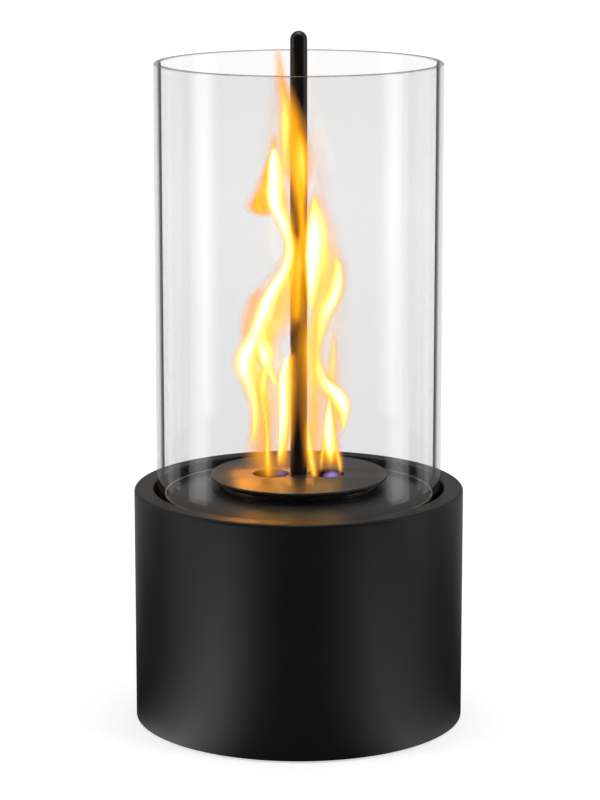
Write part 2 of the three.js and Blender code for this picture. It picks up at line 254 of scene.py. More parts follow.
def floor_material():
    """
    Pale and matt. Camera rays get enough plain light on top to be white outside the shadow,
    and mirror rays get the near ring close to the object and the far ring further out.
    """
    material = bpy.data.materials.new("pale_floor")
    tree = bare_tree(material)
    place = add_node(tree, "ShaderNodeTexCoord").outputs["Object"]
    path = add_node(tree, "ShaderNodeLightPath")
    matt = add_node(tree, "ShaderNodeBsdfDiffuse", {"Color": FLOOR_COLOUR})
    reach = add_node(tree, "ShaderNodeVectorMath", {0: place}, operation="LENGTH").outputs["Value"]
    lifts = {"Value": reach, "From Max": LIFT_REACH, "To Min": LIFT_NEAR, "To Max": LIFT_FAR}
    rise = add_node(tree, "ShaderNodeMapRange", lifts, interpolation_type="SMOOTHSTEP")
    lift = add_node(tree, "ShaderNodeEmission", {"Strength": rise})
    for_camera = add_node(tree, "ShaderNodeAddShader", {0: matt, 1: lift})
    lit_or_white = mixed(tree, path.outputs["Is Camera Ray"], matt, for_camera)
    step = {"Value": reach, "From Min": NEAR_END, "From Max": FAR_START}
    away = add_node(tree, "ShaderNodeMapRange", step)
    near, far = ring_level(tree, place, NEAR_RING), ring_level(tree, place, FAR_RING)
    level = add_node(tree, "ShaderNodeMix", {"Factor": away, "A": near, "B": far})
    mirror_white = add_node(tree, "ShaderNodeEmission", {"Strength": level})
    seen = mixed(tree, mirror_ray(tree, path), lit_or_white, mirror_white)
    add_node(tree, "ShaderNodeOutputMaterial", {"Surface": seen})
    return material


half = FLOOR_REACH
floor_mesh = bpy.data.meshes.new("floor")
floor_corners = [(-half, -half, 0), (half, -half, 0), (half, half, 0), (-half, half, 0)]
floor_mesh.from_pydata(floor_corners, [], [(0, 1, 2, 3)])
floor_mesh.materials.append(floor_material())
floor = place_object("floor", floor_mesh)
print("floor", 2 * half, "m wide")

# %% The world
WORLD_LEVEL = 0.35


def make_world():
    """White for the camera, dim for light on the object, and the far ring for mirror rays."""
    world = bpy.data.worlds.new("studio")
    bpy.context.scene.world = world
    tree = bare_tree(world)
    way = add_node(tree, "ShaderNodeTexCoord").outputs["Generated"]
    path = add_node(tree, "ShaderNodeLightPath")
    mirrored = maths(tree, "MULTIPLY", mirror_ray(tree, path), ring_level(tree, way, FAR_RING))
    light = maths(tree, "MULTIPLY_ADD", path.outputs["Is Diffuse Ray"], WORLD_LEVEL, mirrored)
    seen = maths(tree, "MAXIMUM", light, path.outputs["Is Camera Ray"])
    back = add_node(tree, "ShaderNodeBackground", {"Strength": seen})
    add_node(tree, "ShaderNodeOutputWorld", {"Surface": back})


make_world()
view_settings = bpy.context.scene.view_settings
view_settings.view_transform = "Standard"

# %% The lamps
SIDE_DISTANCE = 1.3
SIDE_HEIGHT = 0.62
SIDE_TALL = 1.2
SIDE_RADIANCE = 4.0
LEFT_TURN = -70
LEFT_WIDE = 0.46
RIGHT_TURN = 65
RIGHT_WIDE = 0.58
TOP_WIDE = 1.0
TOP_POWER = 7.0
TOP_PLACE = (0, 0.2, 1.7)


def flat_lamp(name, size, radiance, place, rotation):
    """A lamp of (width, height) in metres. Its power is radiance times pi times its area."""
    data = bpy.data.lights.new(name, "AREA")
    data.shape = "RECTANGLE"
    data.size, data.size_y = size
    data.energy = radiance * math.pi * size[0] * size[1]
    lamp = place_object(name, data)
    lamp.location = place
    lamp.rotation_euler = rotation
    print(name, round(data.energy, 2), "W")
    return lamp


def side_lamp(name, degrees, width):
    """
    A tall lamp at a turn round the axis, 0 in front and 90 on the right, facing the axis.
    Mirror rays don't see it, because the ring holds what they see.
    """
    turn = math.radians(degrees)
    place = (SIDE_DISTANCE * math.sin(turn), -SIDE_DISTANCE * math.cos(turn), SIDE_HEIGHT)
    facing = (math.pi / 2, 0, turn)
    lamp = flat_lamp(name, (width, SIDE_TALL), SIDE_RADIANCE, place, facing)
    lamp.visible_glossy = False


side_lamp("left_lamp", LEFT_TURN, LEFT_WIDE)
side_lamp("right_lamp", RIGHT_TURN, RIGHT_WIDE)
top_data = bpy.data.lights.new("top_lamp", "AREA")
top_data.shape = "DISK"
top_data.size = TOP_WIDE
top_data.energy = TOP_POWER
top_lamp = place_object("top_lamp", top_data)
top_lamp.location = TOP_PLACE

# %% [markdown]
# ## The light of the flame
#
# The thin skins of the flame glow, but they light little. A small warm lamp inside the flame
# gives the orange light on the disc, the tray and the rim. It faces the front and a little
# down, the camera doesn't see it, and it rides with the cup, as the flame does.

# %% The light of the flame
FLAME_LIGHT_SIZE = (0.040, 0.050)
FLAME_LIGHT_PLACE = (-0.013, 0.020, 0.155)
FLAME_LIGHT_TURN = (math.radians(-80), 0, 0)
FLAME_LIGHT_COLOUR = (1.0, 0.33, 0.01)
FLAME_RADIANCE = 9.0

flame_light = flat_lamp(
    "flame_light", FLAME_LIGHT_SIZE, FLAME_RADIANCE, FLAME_LIGHT_PLACE, FLAME_LIGHT_TURN
)
flame_light.data.color = FLAME_LIGHT_COLOUR
flame_light.visible_camera = False
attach(flame_light, "cup")

# %% [markdown]
# ## Turned surfaces
#
# Nearly every piece is round: the shell is spun, the cup is drawn and the rod is turned. So one
# helper rounds the corners of a profile, and another carries the profile round the axis as one
# array. The corner radii matter more than anything else here, because a small round edge is
# what catches the light.

# %% Turned surfaces
TURN_STEPS = 192
CORNER_STEPS = 6
SHARP_FROM = math.radians(40)
SAME_PLACE = 1e-6
CUT_EDGE = 0.3


def rounded(corners, closed=True):
    """
    A profile with round corners. Each row is (radius, height, corner radius) in millimetres.
    At a corner the arc touches both sides, at corner radius over tan(half the angle) from the
    corner, and its points turn evenly from one side to the other.
    """
    rows = np.array(corners, float)
    count = len(rows)
    points = []
    for i in range(count):
        here, r = rows[i, :2], rows[i, 2]
        at_end = not closed and i in (0, count - 1)
        if r <= 0 or at_end:
            points.append(here[None])
            continue
        before = rows[i - 1, :2] - here
        after = rows[(i + 1) % count, :2] - here
        u = before / np.linalg.norm(before)
        v = after / np.linalg.norm(after)
        half = math.acos(np.clip(u @ v, -1, 1)) / 2
        centre = here + (u + v) / np.linalg.norm(u + v) * r / math.sin(half)
        start = here + u * r / math.tan(half) - centre
        end = here + v * r / math.tan(half) - centre
        a0 = math.atan2(start[1], start[0])
        turn = (math.atan2(end[1], end[0]) - a0 + math.pi) % (2 * math.pi) - math.pi
        angles = a0 + turn * np.linspace(0, 1, CORNER_STEPS + 1)
        arc = centre + r * np.stack([np.cos(angles), np.sin(angles)], 1)
        points.append(arc)
    return np.concatenate(points) * MM


def turned_arrays(profile, closed=True, steps=TURN_STEPS):
    """
    Carries a profile of (radius, height) round the axis. A point at turn t is
    (r cos t, r sin t, height), and each face joins two points of the profile at two
    neighbouring turns.
    """
    turns = np.arange(steps) * 2 * math.pi / steps
    r, z = profile[:, 0], profile[:, 1]
    x = np.outer(np.cos(turns), r)
    y = np.outer(np.sin(turns), r)
    vertices = np.stack([x, y, np.broadcast_to(z, x.shape)], 2).reshape(-1, 3)
    rows = len(profile)
    spans = rows if closed else rows - 1
    i, j = np.meshgrid(np.arange(steps), np.arange(spans), indexing="ij")
    i2, j2 = (i + 1) % steps, (j + 1) % rows
    faces = np.stack([i * rows + j, i2 * rows + j, i2 * rows + j2, i * rows + j2], 2)
    return vertices, faces.reshape(-1, 4)


def mesh_object(name, vertices, faces):
    """
    A piece from arrays. Doubled points at the poles are merged, and the faces look outwards.
    Smooth shading would bend the light on a flat beside a round corner, so the weighted
    normals let the larger face win.
    """
    mesh = bpy.data.meshes.new(name)
    mesh.from_pydata(vertices.tolist(), [], faces.tolist())
    shape = bmesh.new()
    shape.from_mesh(mesh)
    bmesh.ops.remove_doubles(shape, verts=shape.verts, dist=SAME_PLACE)
    volume = shape.calc_volume(signed=True)
    if volume < 0:
        bmesh.ops.reverse_faces(shape, faces=shape.faces)
    shape.to_mesh(mesh)
    shape.free()
    mesh.shade_smooth()
    mesh.set_sharp_from_angle(angle=SHARP_FROM)
    piece = place_object(name, mesh)
    even = piece.modifiers.new("even_shading", "WEIGHTED_NORMAL")
    even.keep_sharp = True
    print(name, "volume", round(abs(volume) * 1e6, 2), "cm3,", len(mesh.polygons), "faces")
    return piece


def turned_piece(name, corners, closed=True, steps=TURN_STEPS):
    """A turned piece from the corners of its profile."""
    return mesh_object(name, *turned_arrays(rounded(corners, closed), closed, steps))


def tube_corners(inner, outer, low, top, edge):
    """The corners of a plain ring, all with the same corner radius."""
    return [(inner, low, edge), (outer, low, edge), (outer, top, edge), (inner, top, edge)]


def sizes_of(node):
    """Outer radius, low end and top of a round node about the axis, in millimetres."""
    low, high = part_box(node)
    return high.x / MM, low.z / MM, high.z / MM


# %% Finishes on pieces
def stand_for(piece, node, body, material):
    """The piece takes a CAD node's place, on the same body and its finish."""
    piece.data.materials.append(material)
    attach(piece, body)
    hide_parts(node)


def dress(node, material):
    """A CAD node that stays takes the finish."""
    mesh = nodes[node].data
    mesh.materials.clear()
    mesh.materials.append(material)


def face_values(piece, label):
    """The center or the normal of every face of a piece, a row each."""
    faces = piece.data.polygons
    values = np.empty(len(faces) * 3, np.float32)
    faces.foreach_get(label, values)
    return values.reshape(-1, 3)


def finish_faces(piece, numbers, *others):
    """Adds other finishes after a piece's first one, and gives each face one by its number."""
    for material in others:
        piece.data.materials.append(material)
    numbers = numbers.astype(np.int32)
    piece.data.polygons.foreach_set("material_index", numbers)
    print(piece.name, "faces of each finish:", np.bincount(numbers))


# %% [markdown]
# ## The black coat
#
# The shell, the tray, the collar and the disc are steel with a black powder coat. Such a coat
# is satin: it has a soft sheen, a very faint orange-peel waviness, and tiny differences in
# gloss. A low specular level keeps it deep black where it faces the viewer, and it still turns
# grey where it is seen at a flat angle.

# %% The black coat
CLOUD_SCALE = 30.0
PEEL_SCALE = 1400.0


def coat_material(name, tone, roughness, peel, specular):
    """Satin black coat: noise varies tone and roughness a little, and gives a faint peel."""
    material, tree, shader = start_material(name, Specular_IOR_Level=specular)
    cloud = object_noise(tree, CLOUD_SCALE, 3.0)
    grain = object_noise(tree, PEEL_SCALE, 2.0)
    vary(tree, shader, cloud, [(level,) * 3 for level in tone], roughness)
    bump(tree, shader, grain, peel)
    return material


shell_coat = coat_material("shell_coat", (0.0055, 0.0075), (0.38, 0.46), 6e-6, 0.30)
tray_coat = coat_material("tray_coat", (0.006, 0.009), (0.34, 0.42), 4e-6, 0.75)
# The collar's coat is darker than the shell's: a painted shade for the shadow under the disc.
collar_coat_painted_shade = coat_material("collar_coat_painted_shade", (0.002, 0.003), (0.20, 0.24), 5e-7, 0.90)
disc_coat = coat_material("disc_coat", (0.020, 0.026), (0.34, 0.42), 4e-6, 1.0)
# The lip's light grey coat is a painted highlight, not a colour of the tray.
lip_painted_highlight = coat_material("lip_painted_highlight", (0.16, 0.20), (0.24, 0.30), 2e-6, 1.0)
rod_coat = coat_material("rod_coat", (0.004, 0.006), (0.26, 0.32), 4e-6, 0.45)

# %% [markdown]
# ## The base
#
# The shell is one spun piece of sheet: its wall rises to a rounded outer edge, the rim runs
# flat to the inside, turns down into the channel and ends in the ledge. The tray is a pressed
# disc that stands on the ledge, and its lip is the thin bright line just inside the glass: a
# light grey coat on the top faces of the lip is a painted highlight for that line.

# %% The shell
SHELL_SHEET = 1.5
RIM_WIDTH = 9.4
RIM_FILLET = 1.7
CHANNEL_DEPTH = 15.0
LEDGE_INNER = 54.0

shell_radius, shell_low, rim_top = sizes_of("housing_shell")
rim_inner = shell_radius - RIM_WIDTH
rim_low = rim_top - SHELL_SHEET
ledge_top = rim_top - CHANNEL_DEPTH
ledge_low = ledge_top - SHELL_SHEET
shell_corners = [
    (shell_radius, shell_low, CUT_EDGE),
    (shell_radius, rim_top, RIM_FILLET),
    (rim_inner, rim_top, 0.9),
    (rim_inner, ledge_top, 0.8),
    (LEDGE_INNER, ledge_top, CUT_EDGE),
    (LEDGE_INNER, ledge_low, CUT_EDGE),
    (rim_inner + SHELL_SHEET, ledge_low, 1.0),
    (rim_inner + SHELL_SHEET, rim_low, CUT_EDGE),
    (shell_radius - SHELL_SHEET, rim_low, RIM_FILLET - SHELL_SHEET),
    (shell_radius - SHELL_SHEET, shell_low, CUT_EDGE),
]
shell = turned_piece("shell", shell_corners)
stand_for(shell, "housing_shell", "base", shell_coat)

# %% The tray
TRAY_SHEET = 1.0
TRAY_GUTTER_DEPTH = 1.8
TRAY_GUTTER_WIDTH = 1.8
TRAY_RISE = 4.8
TRAY_LAND = 5.0
CUP_HOLE = 38.6
# How far below the lip's top the painted highlight coat reaches, in millimetres.
LIP_HIGHLIGHT_DEPTH = 0.46
LIP_SLACK = 0.01

tray_radius, _, lip_top = sizes_of("burner_tray")
tray_inner = tray_radius - TRAY_SHEET
gutter_top = lip_top - TRAY_GUTTER_DEPTH
gutter_low = gutter_top - TRAY_SHEET
gutter_inner = tray_inner - TRAY_GUTTER_WIDTH
land_top = gutter_top + TRAY_RISE
land_outer = CUP_HOLE + TRAY_LAND
tray_corners = [
    (CUP_HOLE, land_top - TRAY_SHEET, CUT_EDGE),
    (land_outer, land_top - TRAY_SHEET, 3.0),
    (gutter_inner, gutter_low, 0.6),
    (tray_inner, gutter_low, 0.2),
    (tray_inner, ledge_top, 0.2),
    (tray_radius, ledge_top, 0.2),
    (tray_radius, lip_top, 0.45),
    (tray_inner, lip_top, 0.45),
    (tray_inner, gutter_top, 0.5),
    (gutter_inner, gutter_top, 0.8),
    (land_outer, land_top, 3.0),
    (CUP_HOLE, land_top, CUT_EDGE),
]
tray = turned_piece("tray", tray_corners)
stand_for(tray, "burner_tray", "base", tray_coat)
# The top faces of the lip get the light grey coat: a painted highlight.
tray_places = face_values(tray, "center") / MM
lip_highlight_faces = np.hypot(tray_places[:, 0], tray_places[:, 1]) > tray_inner - LIP_SLACK
lip_highlight_faces &= tray_places[:, 2] > lip_top - LIP_HIGHLIGHT_DEPTH
finish_faces(tray, lip_highlight_faces, lip_painted_highlight)

# %% [markdown]
# ## The glass
#
# The tube is clear heat-proof glass with fire-polished ends. The eye sees it as light grey
# where it looks through two walls, as a dark line where a wall is seen edge-on, and as white
# bands where it mirrors the cards. A transparent shader that darkens at flat angles, with a
# gloss on top by Fresnel that never passes a set share, shows all of that without noise, and
# the flame behind it stays sharp. Real glass bends the light inside its wall, so its outer face
# stays pale at the side while its inner face goes dark there, and the polished end is a thin
# dark line all round. So the outer face, the inner face and the ends each have a ramp of grey by
# how flat they are seen: the plain grey is the glass's own tint, and the dark lines are painted
# shade that stands in for the bent light.

# %% The glass finishes
GLASS_INDEX = 1.47
# Tint and painted shade by how flat a face is seen: the dark dips are painted dark lines.
OUTER_TINT_AND_SHADE = [
    (0.0, 0.935), (0.30, 0.938), (0.50, 0.955), (0.60, 0.97), (0.672, 0.97), (0.695, 0.30),
    (0.715, 0.24), (0.735, 0.50), (0.76, 0.76), (0.79, 0.86), (0.86, 0.94), (1.0, 0.95),
]
INNER_TINT_AND_SHADE = [
    (0.0, 0.935), (0.30, 0.938), (0.50, 0.95), (0.60, 0.96), (0.68, 0.99), (0.86, 1.0),
    (0.885, 0.60), (0.905, 0.08), (1.0, 0.03),
]
END_TINT_AND_SHADE = [(0.0, 0.62), (1.0, 0.5)]
OUTER_GLOSS = 0.22
INNER_GLOSS = 0.12
GLASS_ROUGHNESS = 0.02


def glass_material(name, tint_and_shade, most):
    """
    Clear glass: transparent, with a tint and painted shade by how flat it is seen, and a gloss
    by Fresnel up to a most, because a wall seen edge-on shows what its painted shade says.
    """
    material = bpy.data.materials.new(name)
    tree = bare_tree(material)
    facing = add_node(tree, "ShaderNodeLayerWeight", {"Blend": 0.5}).outputs["Facing"]
    tint_with_shade = colours(tree, facing, greys(tint_and_shade))
    clear = add_node(tree, "ShaderNodeBsdfTransparent", {"Color": tint_with_shade})
    gloss = add_node(tree, "ShaderNodeBsdfGlossy", {"Roughness": GLASS_ROUGHNESS})
    inside = add_node(tree, "ShaderNodeNewGeometry").outputs["Backfacing"]
    index = between(tree, inside, GLASS_INDEX, 1 / GLASS_INDEX)
    fresnel = add_node(tree, "ShaderNodeFresnel", {"IOR": index})
    seen = mixed(tree, maths(tree, "MINIMUM", fresnel, most), clear, gloss)
    add_node(tree, "ShaderNodeOutputMaterial", {"Surface": seen})
    return material


# %% The glass tube
GLASS_WALL = 3.3
GLASS_EDGE = 1.1
GLASS_STEPS = 256
END_STEEPNESS = 0.45

glass_radius, glass_low, glass_top = sizes_of("glass_cylinder")
glass_inner = glass_radius - GLASS_WALL
glass_corners = tube_corners(glass_inner, glass_radius, glass_low, glass_top, GLASS_EDGE)
glass_tube = turned_piece("glass_tube", glass_corners, steps=GLASS_STEPS)
outer_glass = glass_material("clear_glass", OUTER_TINT_AND_SHADE, OUTER_GLOSS)
inner_glass = glass_material("clear_glass_inner", INNER_TINT_AND_SHADE, INNER_GLOSS)
end_glass = glass_material("clear_glass_end", END_TINT_AND_SHADE, OUTER_GLOSS)
stand_for(glass_tube, "glass_cylinder", "glass", outer_glass)

# Faces that look at the axis are the inner face, and faces that look up or down the ends.
normals = face_values(glass_tube, "normal")
centres = face_values(glass_tube, "center")
which_glass = np.where((normals[:, :2] * centres[:, :2]).sum(1) < 0, 1, 0)
which_glass[np.abs(normals[:, 2]) > END_STEEPNESS] = 2
finish_faces(glass_tube, which_glass, inner_glass, end_glass)

# %% [markdown]
# ## Plain metals, rubber and fibre
#
# The hidden pieces are stainless steel, zinc-plated steel, rubber, silicone and dark fibre. Each
# has the mark of how it is made: a drawn cup has fine lines round it, zinc is mottled, rubber
# is matt and a little grainy. The hooks of the disc have its coat.

# %% Finishes of the hidden pieces
METAL_RELIEF = 5e-6
METAL_ENDS = (0.25, 0.75)
MATT_SPECULAR = 0.35


def metal_material(name, tones, roughness, scale, stretch):
    """Bare metal: stretched noise for drawing lines or mottling, in tone and in roughness."""
    material, tree, shader = start_material(name, Metallic=1.0)
    marks = object_noise(tree, scale, 3.0, stretch)
    vary(tree, shader, marks, tones, roughness, METAL_ENDS)
    bump(tree, shader, marks, METAL_RELIEF)
    return material


def matt_material(name, tones, roughness, scale, depth):
    """Rubber, silicone, fibre or wool: a matt grain of two near tones."""
    material, tree, shader = start_material(name, Specular_IOR_Level=MATT_SPECULAR)
    grain = object_noise(tree, scale, 4.0)
    vary(tree, shader, grain, tones, roughness)
    bump(tree, shader, grain, depth)
    return material


steel_tones = ((0.36, 0.355, 0.35), (0.46, 0.455, 0.45))
zinc_tones = ((0.42, 0.43, 0.45), (0.58, 0.58, 0.57))
stainless = metal_material("stainless", steel_tones, (0.25, 0.38), 60.0, (1, 1, 30))
zinc = metal_material("zinc_plate", zinc_tones, (0.30, 0.45), 300.0, (1, 1, 1))
rubber = matt_material("rubber", ((0.012,) * 3, (0.02,) * 3), (0.75, 0.9), 900.0, 2e-5)
silicone = matt_material("silicone", ((0.02,) * 3, (0.03,) * 3), (0.5, 0.6), 300.0, 1e-5)
fibre_tones = ((0.010, 0.010, 0.010), (0.022, 0.021, 0.020))
fibre = matt_material("fibre", fibre_tones, (0.9, 1.0), 1500.0, 1e-4)

dress("base_plate", zinc)
dress("glass_seal", silicone)
dress("cup_gasket", fibre)
dress("shutter_plate", stainless)
dress("shutter_washer", zinc)
dress("shutter_nut", zinc)
for number in range(1, 5):
    dress(f"foot_{number}", rubber)
    dress(f"foot_screw_{number}", zinc)
    dress(f"foot_nut_{number}", zinc)
    dress(f"base_bracket_{number}", zinc)
for number in range(1, 4):
    dress(f"tray_stud_{number}", zinc)
    dress(f"tray_nut_{number}", zinc)
    dress(f"disc_hook_{number}", disc_coat)

# %% [markdown]
# ## The fuel cup
#
# The cup is drawn from stainless sheet and hangs in the tray by its flange. Its neck and flange
# get the collar's black coat, so a second finish goes on the faces above the screen. That coat
# is darker than the tray's, a painted shade for the dark under the disc. A black collar with a
# rolled rim stands on the flange, and its rim is the thin line of light under the disc.

# %% The cup and its collar
CUP_WALL = 1.0
CUP_RADIUS = 38.0
CUP_CORNER = 5.0
COLLAR_WALL = 1.0
BEAD_HEIGHT = 1.3
CUP_STEPS = 128

flange_radius, cup_low, cup_top = sizes_of("fuel_cup")
ring_radius, ring_low, ring_top = sizes_of("screen_ring")
cup_inner = CUP_RADIUS - CUP_WALL
flange_low = cup_top - CUP_WALL
cup_corners = [
    (0, cup_low, 0),
    (CUP_RADIUS, cup_low, CUP_CORNER),
    (CUP_RADIUS, ring_top, 0),
    (CUP_RADIUS, flange_low, CUT_EDGE),
    (flange_radius, flange_low, CUT_EDGE),
    (flange_radius, cup_top, CUT_EDGE),
    (cup_inner, cup_top, CUT_EDGE),
    (cup_inner, ring_top, 0),
    (cup_inner, cup_low + CUP_WALL, CUP_CORNER - CUP_WALL),
    (0, cup_low + CUP_WALL, 0),
]
cup = turned_piece("cup", cup_corners, closed=False, steps=CUP_STEPS)
stand_for(cup, "fuel_cup", "cup", stainless)
above_screen = face_values(cup, "center")[:, 2] > ring_top * MM
# The neck and flange take the collar's darker coat, a painted shade under the disc.
finish_faces(cup, above_screen, collar_coat_painted_shade)

bead_radius, _, collar_top = sizes_of("cup_collar")
collar_outer = cup_inner + COLLAR_WALL
bead_low = collar_top - BEAD_HEIGHT
collar_corners = [
    (cup_inner, cup_top, 0.2),
    (collar_outer, cup_top, 0.2),
    (collar_outer, bead_low, 0.2),
    (bead_radius, bead_low, 0.6),
    (bead_radius, collar_top, 0.6),
    (cup_inner, collar_top, CUT_EDGE),
]
collar = turned_piece("collar", collar_corners, steps=CUP_STEPS)
stand_for(collar, "cup_collar", "cup", collar_coat_painted_shade)

# %% [markdown]
# ## Wool, screen and ring
#
# The cup is full of ceramic wool that soaks up the fuel. It is a soft pad with a crowned,
# uneven top of matted fibres, and a steel sheet with rings of round holes lies on it.

# %% The wool pad
WOOL_CROWN = 1.6
WOOL_RIPPLE = 0.5
WOOL_DRAW = 1.2
WAVE_MOST = 1.6
WOOL_BEVEL = 1.5
WOOL_STEPS = 96
WALL_ROWS = 14
WALL_END = 2.5
CROWN_ROWS = 22
RIPPLE_BAND = 3
RIPPLE_FROM = 0.4


def wool_pad():
    """
    A pad that fills the cup: a turned profile whose top is a crown of the square root of
    (1 - share squared) with a ripple in it, and whose wall draws in by a slow wave of the turn
    and the height.
    """
    radius, low, top = sizes_of("wool_pad")
    wall = np.linspace(low + CUP_CORNER, top - WALL_END, WALL_ROWS)
    share = np.linspace(1, 0, CROWN_ROWS)[1:]
    under = np.array([(0, low), (radius * 0.5, low), (radius - CUP_CORNER, low)])
    corner = np.array([(radius - WOOL_BEVEL, low + WOOL_BEVEL)])
    side = np.stack([np.full(WALL_ROWS, radius), wall], 1)
    crown = top - WOOL_CROWN + WOOL_CROWN * (1 - share**2) ** 0.5
    over = np.stack([(radius - 1.0) * share, crown], 1)
    profile = np.concatenate([under, corner, side, over]) * MM
    vertices, faces = turned_arrays(profile, closed=False, steps=WOOL_STEPS)
    turn = np.arctan2(vertices[:, 1], vertices[:, 0])
    height = vertices[:, 2] / MM
    flat = np.hypot(vertices[:, 0], vertices[:, 1]) / MM
    wave = np.sin(3 * turn + height * 0.21) + 0.6 * np.sin(7 * turn - height * 0.37)
    draw = 1 - WOOL_DRAW * (WAVE_MOST + wave) / (2 * WAVE_MOST) / radius
    vertices[:, :2] *= draw[:, None]
    on_top = np.clip((height - (top - RIPPLE_BAND)) / RIPPLE_BAND, 0, 1) * (flat > 0)
    ripple = np.sin(flat * 0.55 + 2 * turn) * np.sin(flat * 0.31 - 3 * turn + 1)
    vertices[:, 2] += MM * WOOL_RIPPLE * on_top * np.minimum(ripple - RIPPLE_FROM, 0)
    return mesh_object("wool", vertices, faces)


wool_tones = ((0.62, 0.60, 0.55), (0.86, 0.85, 0.81))
wool_finish = matt_material("wool", wool_tones, (0.95, 1.0), 700.0, 0.0006)
wool = wool_pad()
stand_for(wool, "wool_pad", "cup", wool_finish)

# %% [markdown]
# ## Flat plates with holes
#
# The disc and the screen are flat sheets with round holes. A flat curve with holes gives such a
# plate with softly broken edges: the curve's own depth is the sheet, and its bevel is the
# broken edge. The curve is made a mesh at once, so that its place is in its points.

# %% Flat plates
CIRCLE_HANDLE = 4 / 3 * math.tan(math.pi / 8)
PLATE_SHARP_FROM = math.radians(50)


def add_circle(curve, x, y, radius):
    """A round outline of four arcs. Its handles are 4/3 tan(22.5 degrees) of the radius long."""
    spline = curve.splines.new("BEZIER")
    spline.bezier_points.add(3)
    spline.use_cyclic_u = True
    centre = np.array([x, y])
    for i, point in enumerate(spline.bezier_points):
        out = np.array([math.cos(i * math.pi / 2), math.sin(i * math.pi / 2)])
        along = np.array([-out[1], out[0]]) * CIRCLE_HANDLE
        point.co = (*(centre + radius * out), 0)
        point.handle_left = (*(centre + radius * (out - along)), 0)
        point.handle_right = (*(centre + radius * (out + along)), 0)


def plate(name, radius, holes, low, top, edge, smoothness):
    """
    A round sheet between two heights, with round holes given as (x, y, radius), all in
    millimetres. The bevel adds its own width, so the outline is drawn smaller and the holes
    larger by it.
    """
    curve = bpy.data.curves.new(name, "CURVE")
    curve.dimensions = "2D"
    curve.fill_mode = "BOTH"
    curve.resolution_u = smoothness
    curve.extrude = ((top - low) / 2 - edge) * MM
    curve.bevel_depth = edge * MM
    curve.bevel_resolution = 2
    add_circle(curve, 0, 0, (radius - edge) * MM)
    for x, y, hole in holes:
        add_circle(curve, x * MM, y * MM, (hole + edge) * MM)
    drawn = place_object(name + "_outline", curve)
    graph = bpy.context.evaluated_depsgraph_get()
    mesh = bpy.data.meshes.new_from_object(drawn.evaluated_get(graph))
    bpy.data.objects.remove(drawn)
    shape = bmesh.new()
    shape.from_mesh(mesh)
    bmesh.ops.remove_doubles(shape, verts=shape.verts, dist=SAME_PLACE)
    bmesh.ops.recalc_face_normals(shape, faces=shape.faces)
    bmesh.ops.translate(shape, verts=shape.verts, vec=(0, 0, (low + top) / 2 * MM))
    shape.to_mesh(mesh)
    shape.free()
    mesh.name = name
    mesh.shade_smooth()
    mesh.set_sharp_from_angle(angle=PLATE_SHARP_FROM)
    print(name, len(mesh.polygons), "faces")
    return place_object(name, mesh)


# %% The disc
OPENING_OFFSET = 13.4
OPENING_RADIUS = 8.8
JOURNAL_HOLE = 3.3
DISC_EDGE = 0.25
DISC_SMOOTHNESS = 40

disc_radius, disc_low, disc_top = sizes_of("flame_disc")
disc_holes = [
    (0, 0, JOURNAL_HOLE),
    (OPENING_OFFSET, 0, OPENING_RADIUS),
    (-OPENING_OFFSET, 0, OPENING_RADIUS),
]
disc = plate("disc", disc_radius, disc_holes, disc_low, disc_top, DISC_EDGE, DISC_SMOOTHNESS)
stand_for(disc, "flame_disc", "disc", disc_coat)

# %% The screen and its ring
SCREEN_HOLE = 2.5
SCREEN_STEP = 9.0
SCREEN_RINGS = 3
RING_SECTION = 1.5
RING_EDGE = 0.6
SCREEN_EDGE = 0.15
SCREEN_SMOOTHNESS = 6

screen_holes = [(0, 0, SCREEN_HOLE)]
for row in range(1, SCREEN_RINGS + 1):
    turns = np.arange(6 * row) * 2 * math.pi / (6 * row)
    reach = row * SCREEN_STEP
    screen_holes += [(reach * math.cos(t), reach * math.sin(t), SCREEN_HOLE) for t in turns]
screen_radius, screen_low, screen_top = sizes_of("wool_screen")
screen_sheet = (screen_low, screen_top, SCREEN_EDGE, SCREEN_SMOOTHNESS)
screen = plate("screen", screen_radius, screen_holes, *screen_sheet)
stand_for(screen, "wool_screen", "cup", stainless)

ring_inner = ring_radius - RING_SECTION
ring_corners = tube_corners(ring_inner, ring_radius, ring_low, ring_top, RING_EDGE)
ring = turned_piece("ring", ring_corners, steps=CUP_STEPS)
stand_for(ring, "screen_ring", "cup", stainless)

# %% [markdown]
# ## The rod
#
# A long round bar with a domed tip. It stands on the disc by a shoulder, its journal turns in
# the disc, and its thread carries the shutter under the disc. Its coat is smoother than the
# shell's, so it shows two narrow lines of light.

# %% The rod
JOURNAL_RADIUS = 3.0
THREAD_RADIUS = 1.9
SHUTTER_TO_DISC = 0.6
ROD_STEPS = 64

rod_radius, rod_low, rod_top = sizes_of("rod")
shutter_top = disc_low - SHUTTER_TO_DISC
rod_corners = [
    (0, rod_low, 0),
    (THREAD_RADIUS, rod_low, CUT_EDGE),
    (THREAD_RADIUS, shutter_top, 0),
    (JOURNAL_RADIUS, shutter_top, 0.2),
    (JOURNAL_RADIUS, disc_top, 0),
    (rod_radius, disc_top, CUT_EDGE),
    (rod_radius, rod_top - rod_radius, 0),
]
dome_turn = np.linspace(0, math.pi / 2, 13)[1:]
dome = np.stack([np.cos(dome_turn), np.sin(dome_turn)], 1) * rod_radius
dome[:, 1] += rod_top - rod_radius
dome[-1, 0] = 0
rod_profile = np.concatenate([rounded(rod_corners, closed=False), dome * MM])
rod = mesh_object("black_rod", *turned_arrays(rod_profile, closed=False, steps=ROD_STEPS))
stand_for(rod, "rod", "rod", rod_coat)

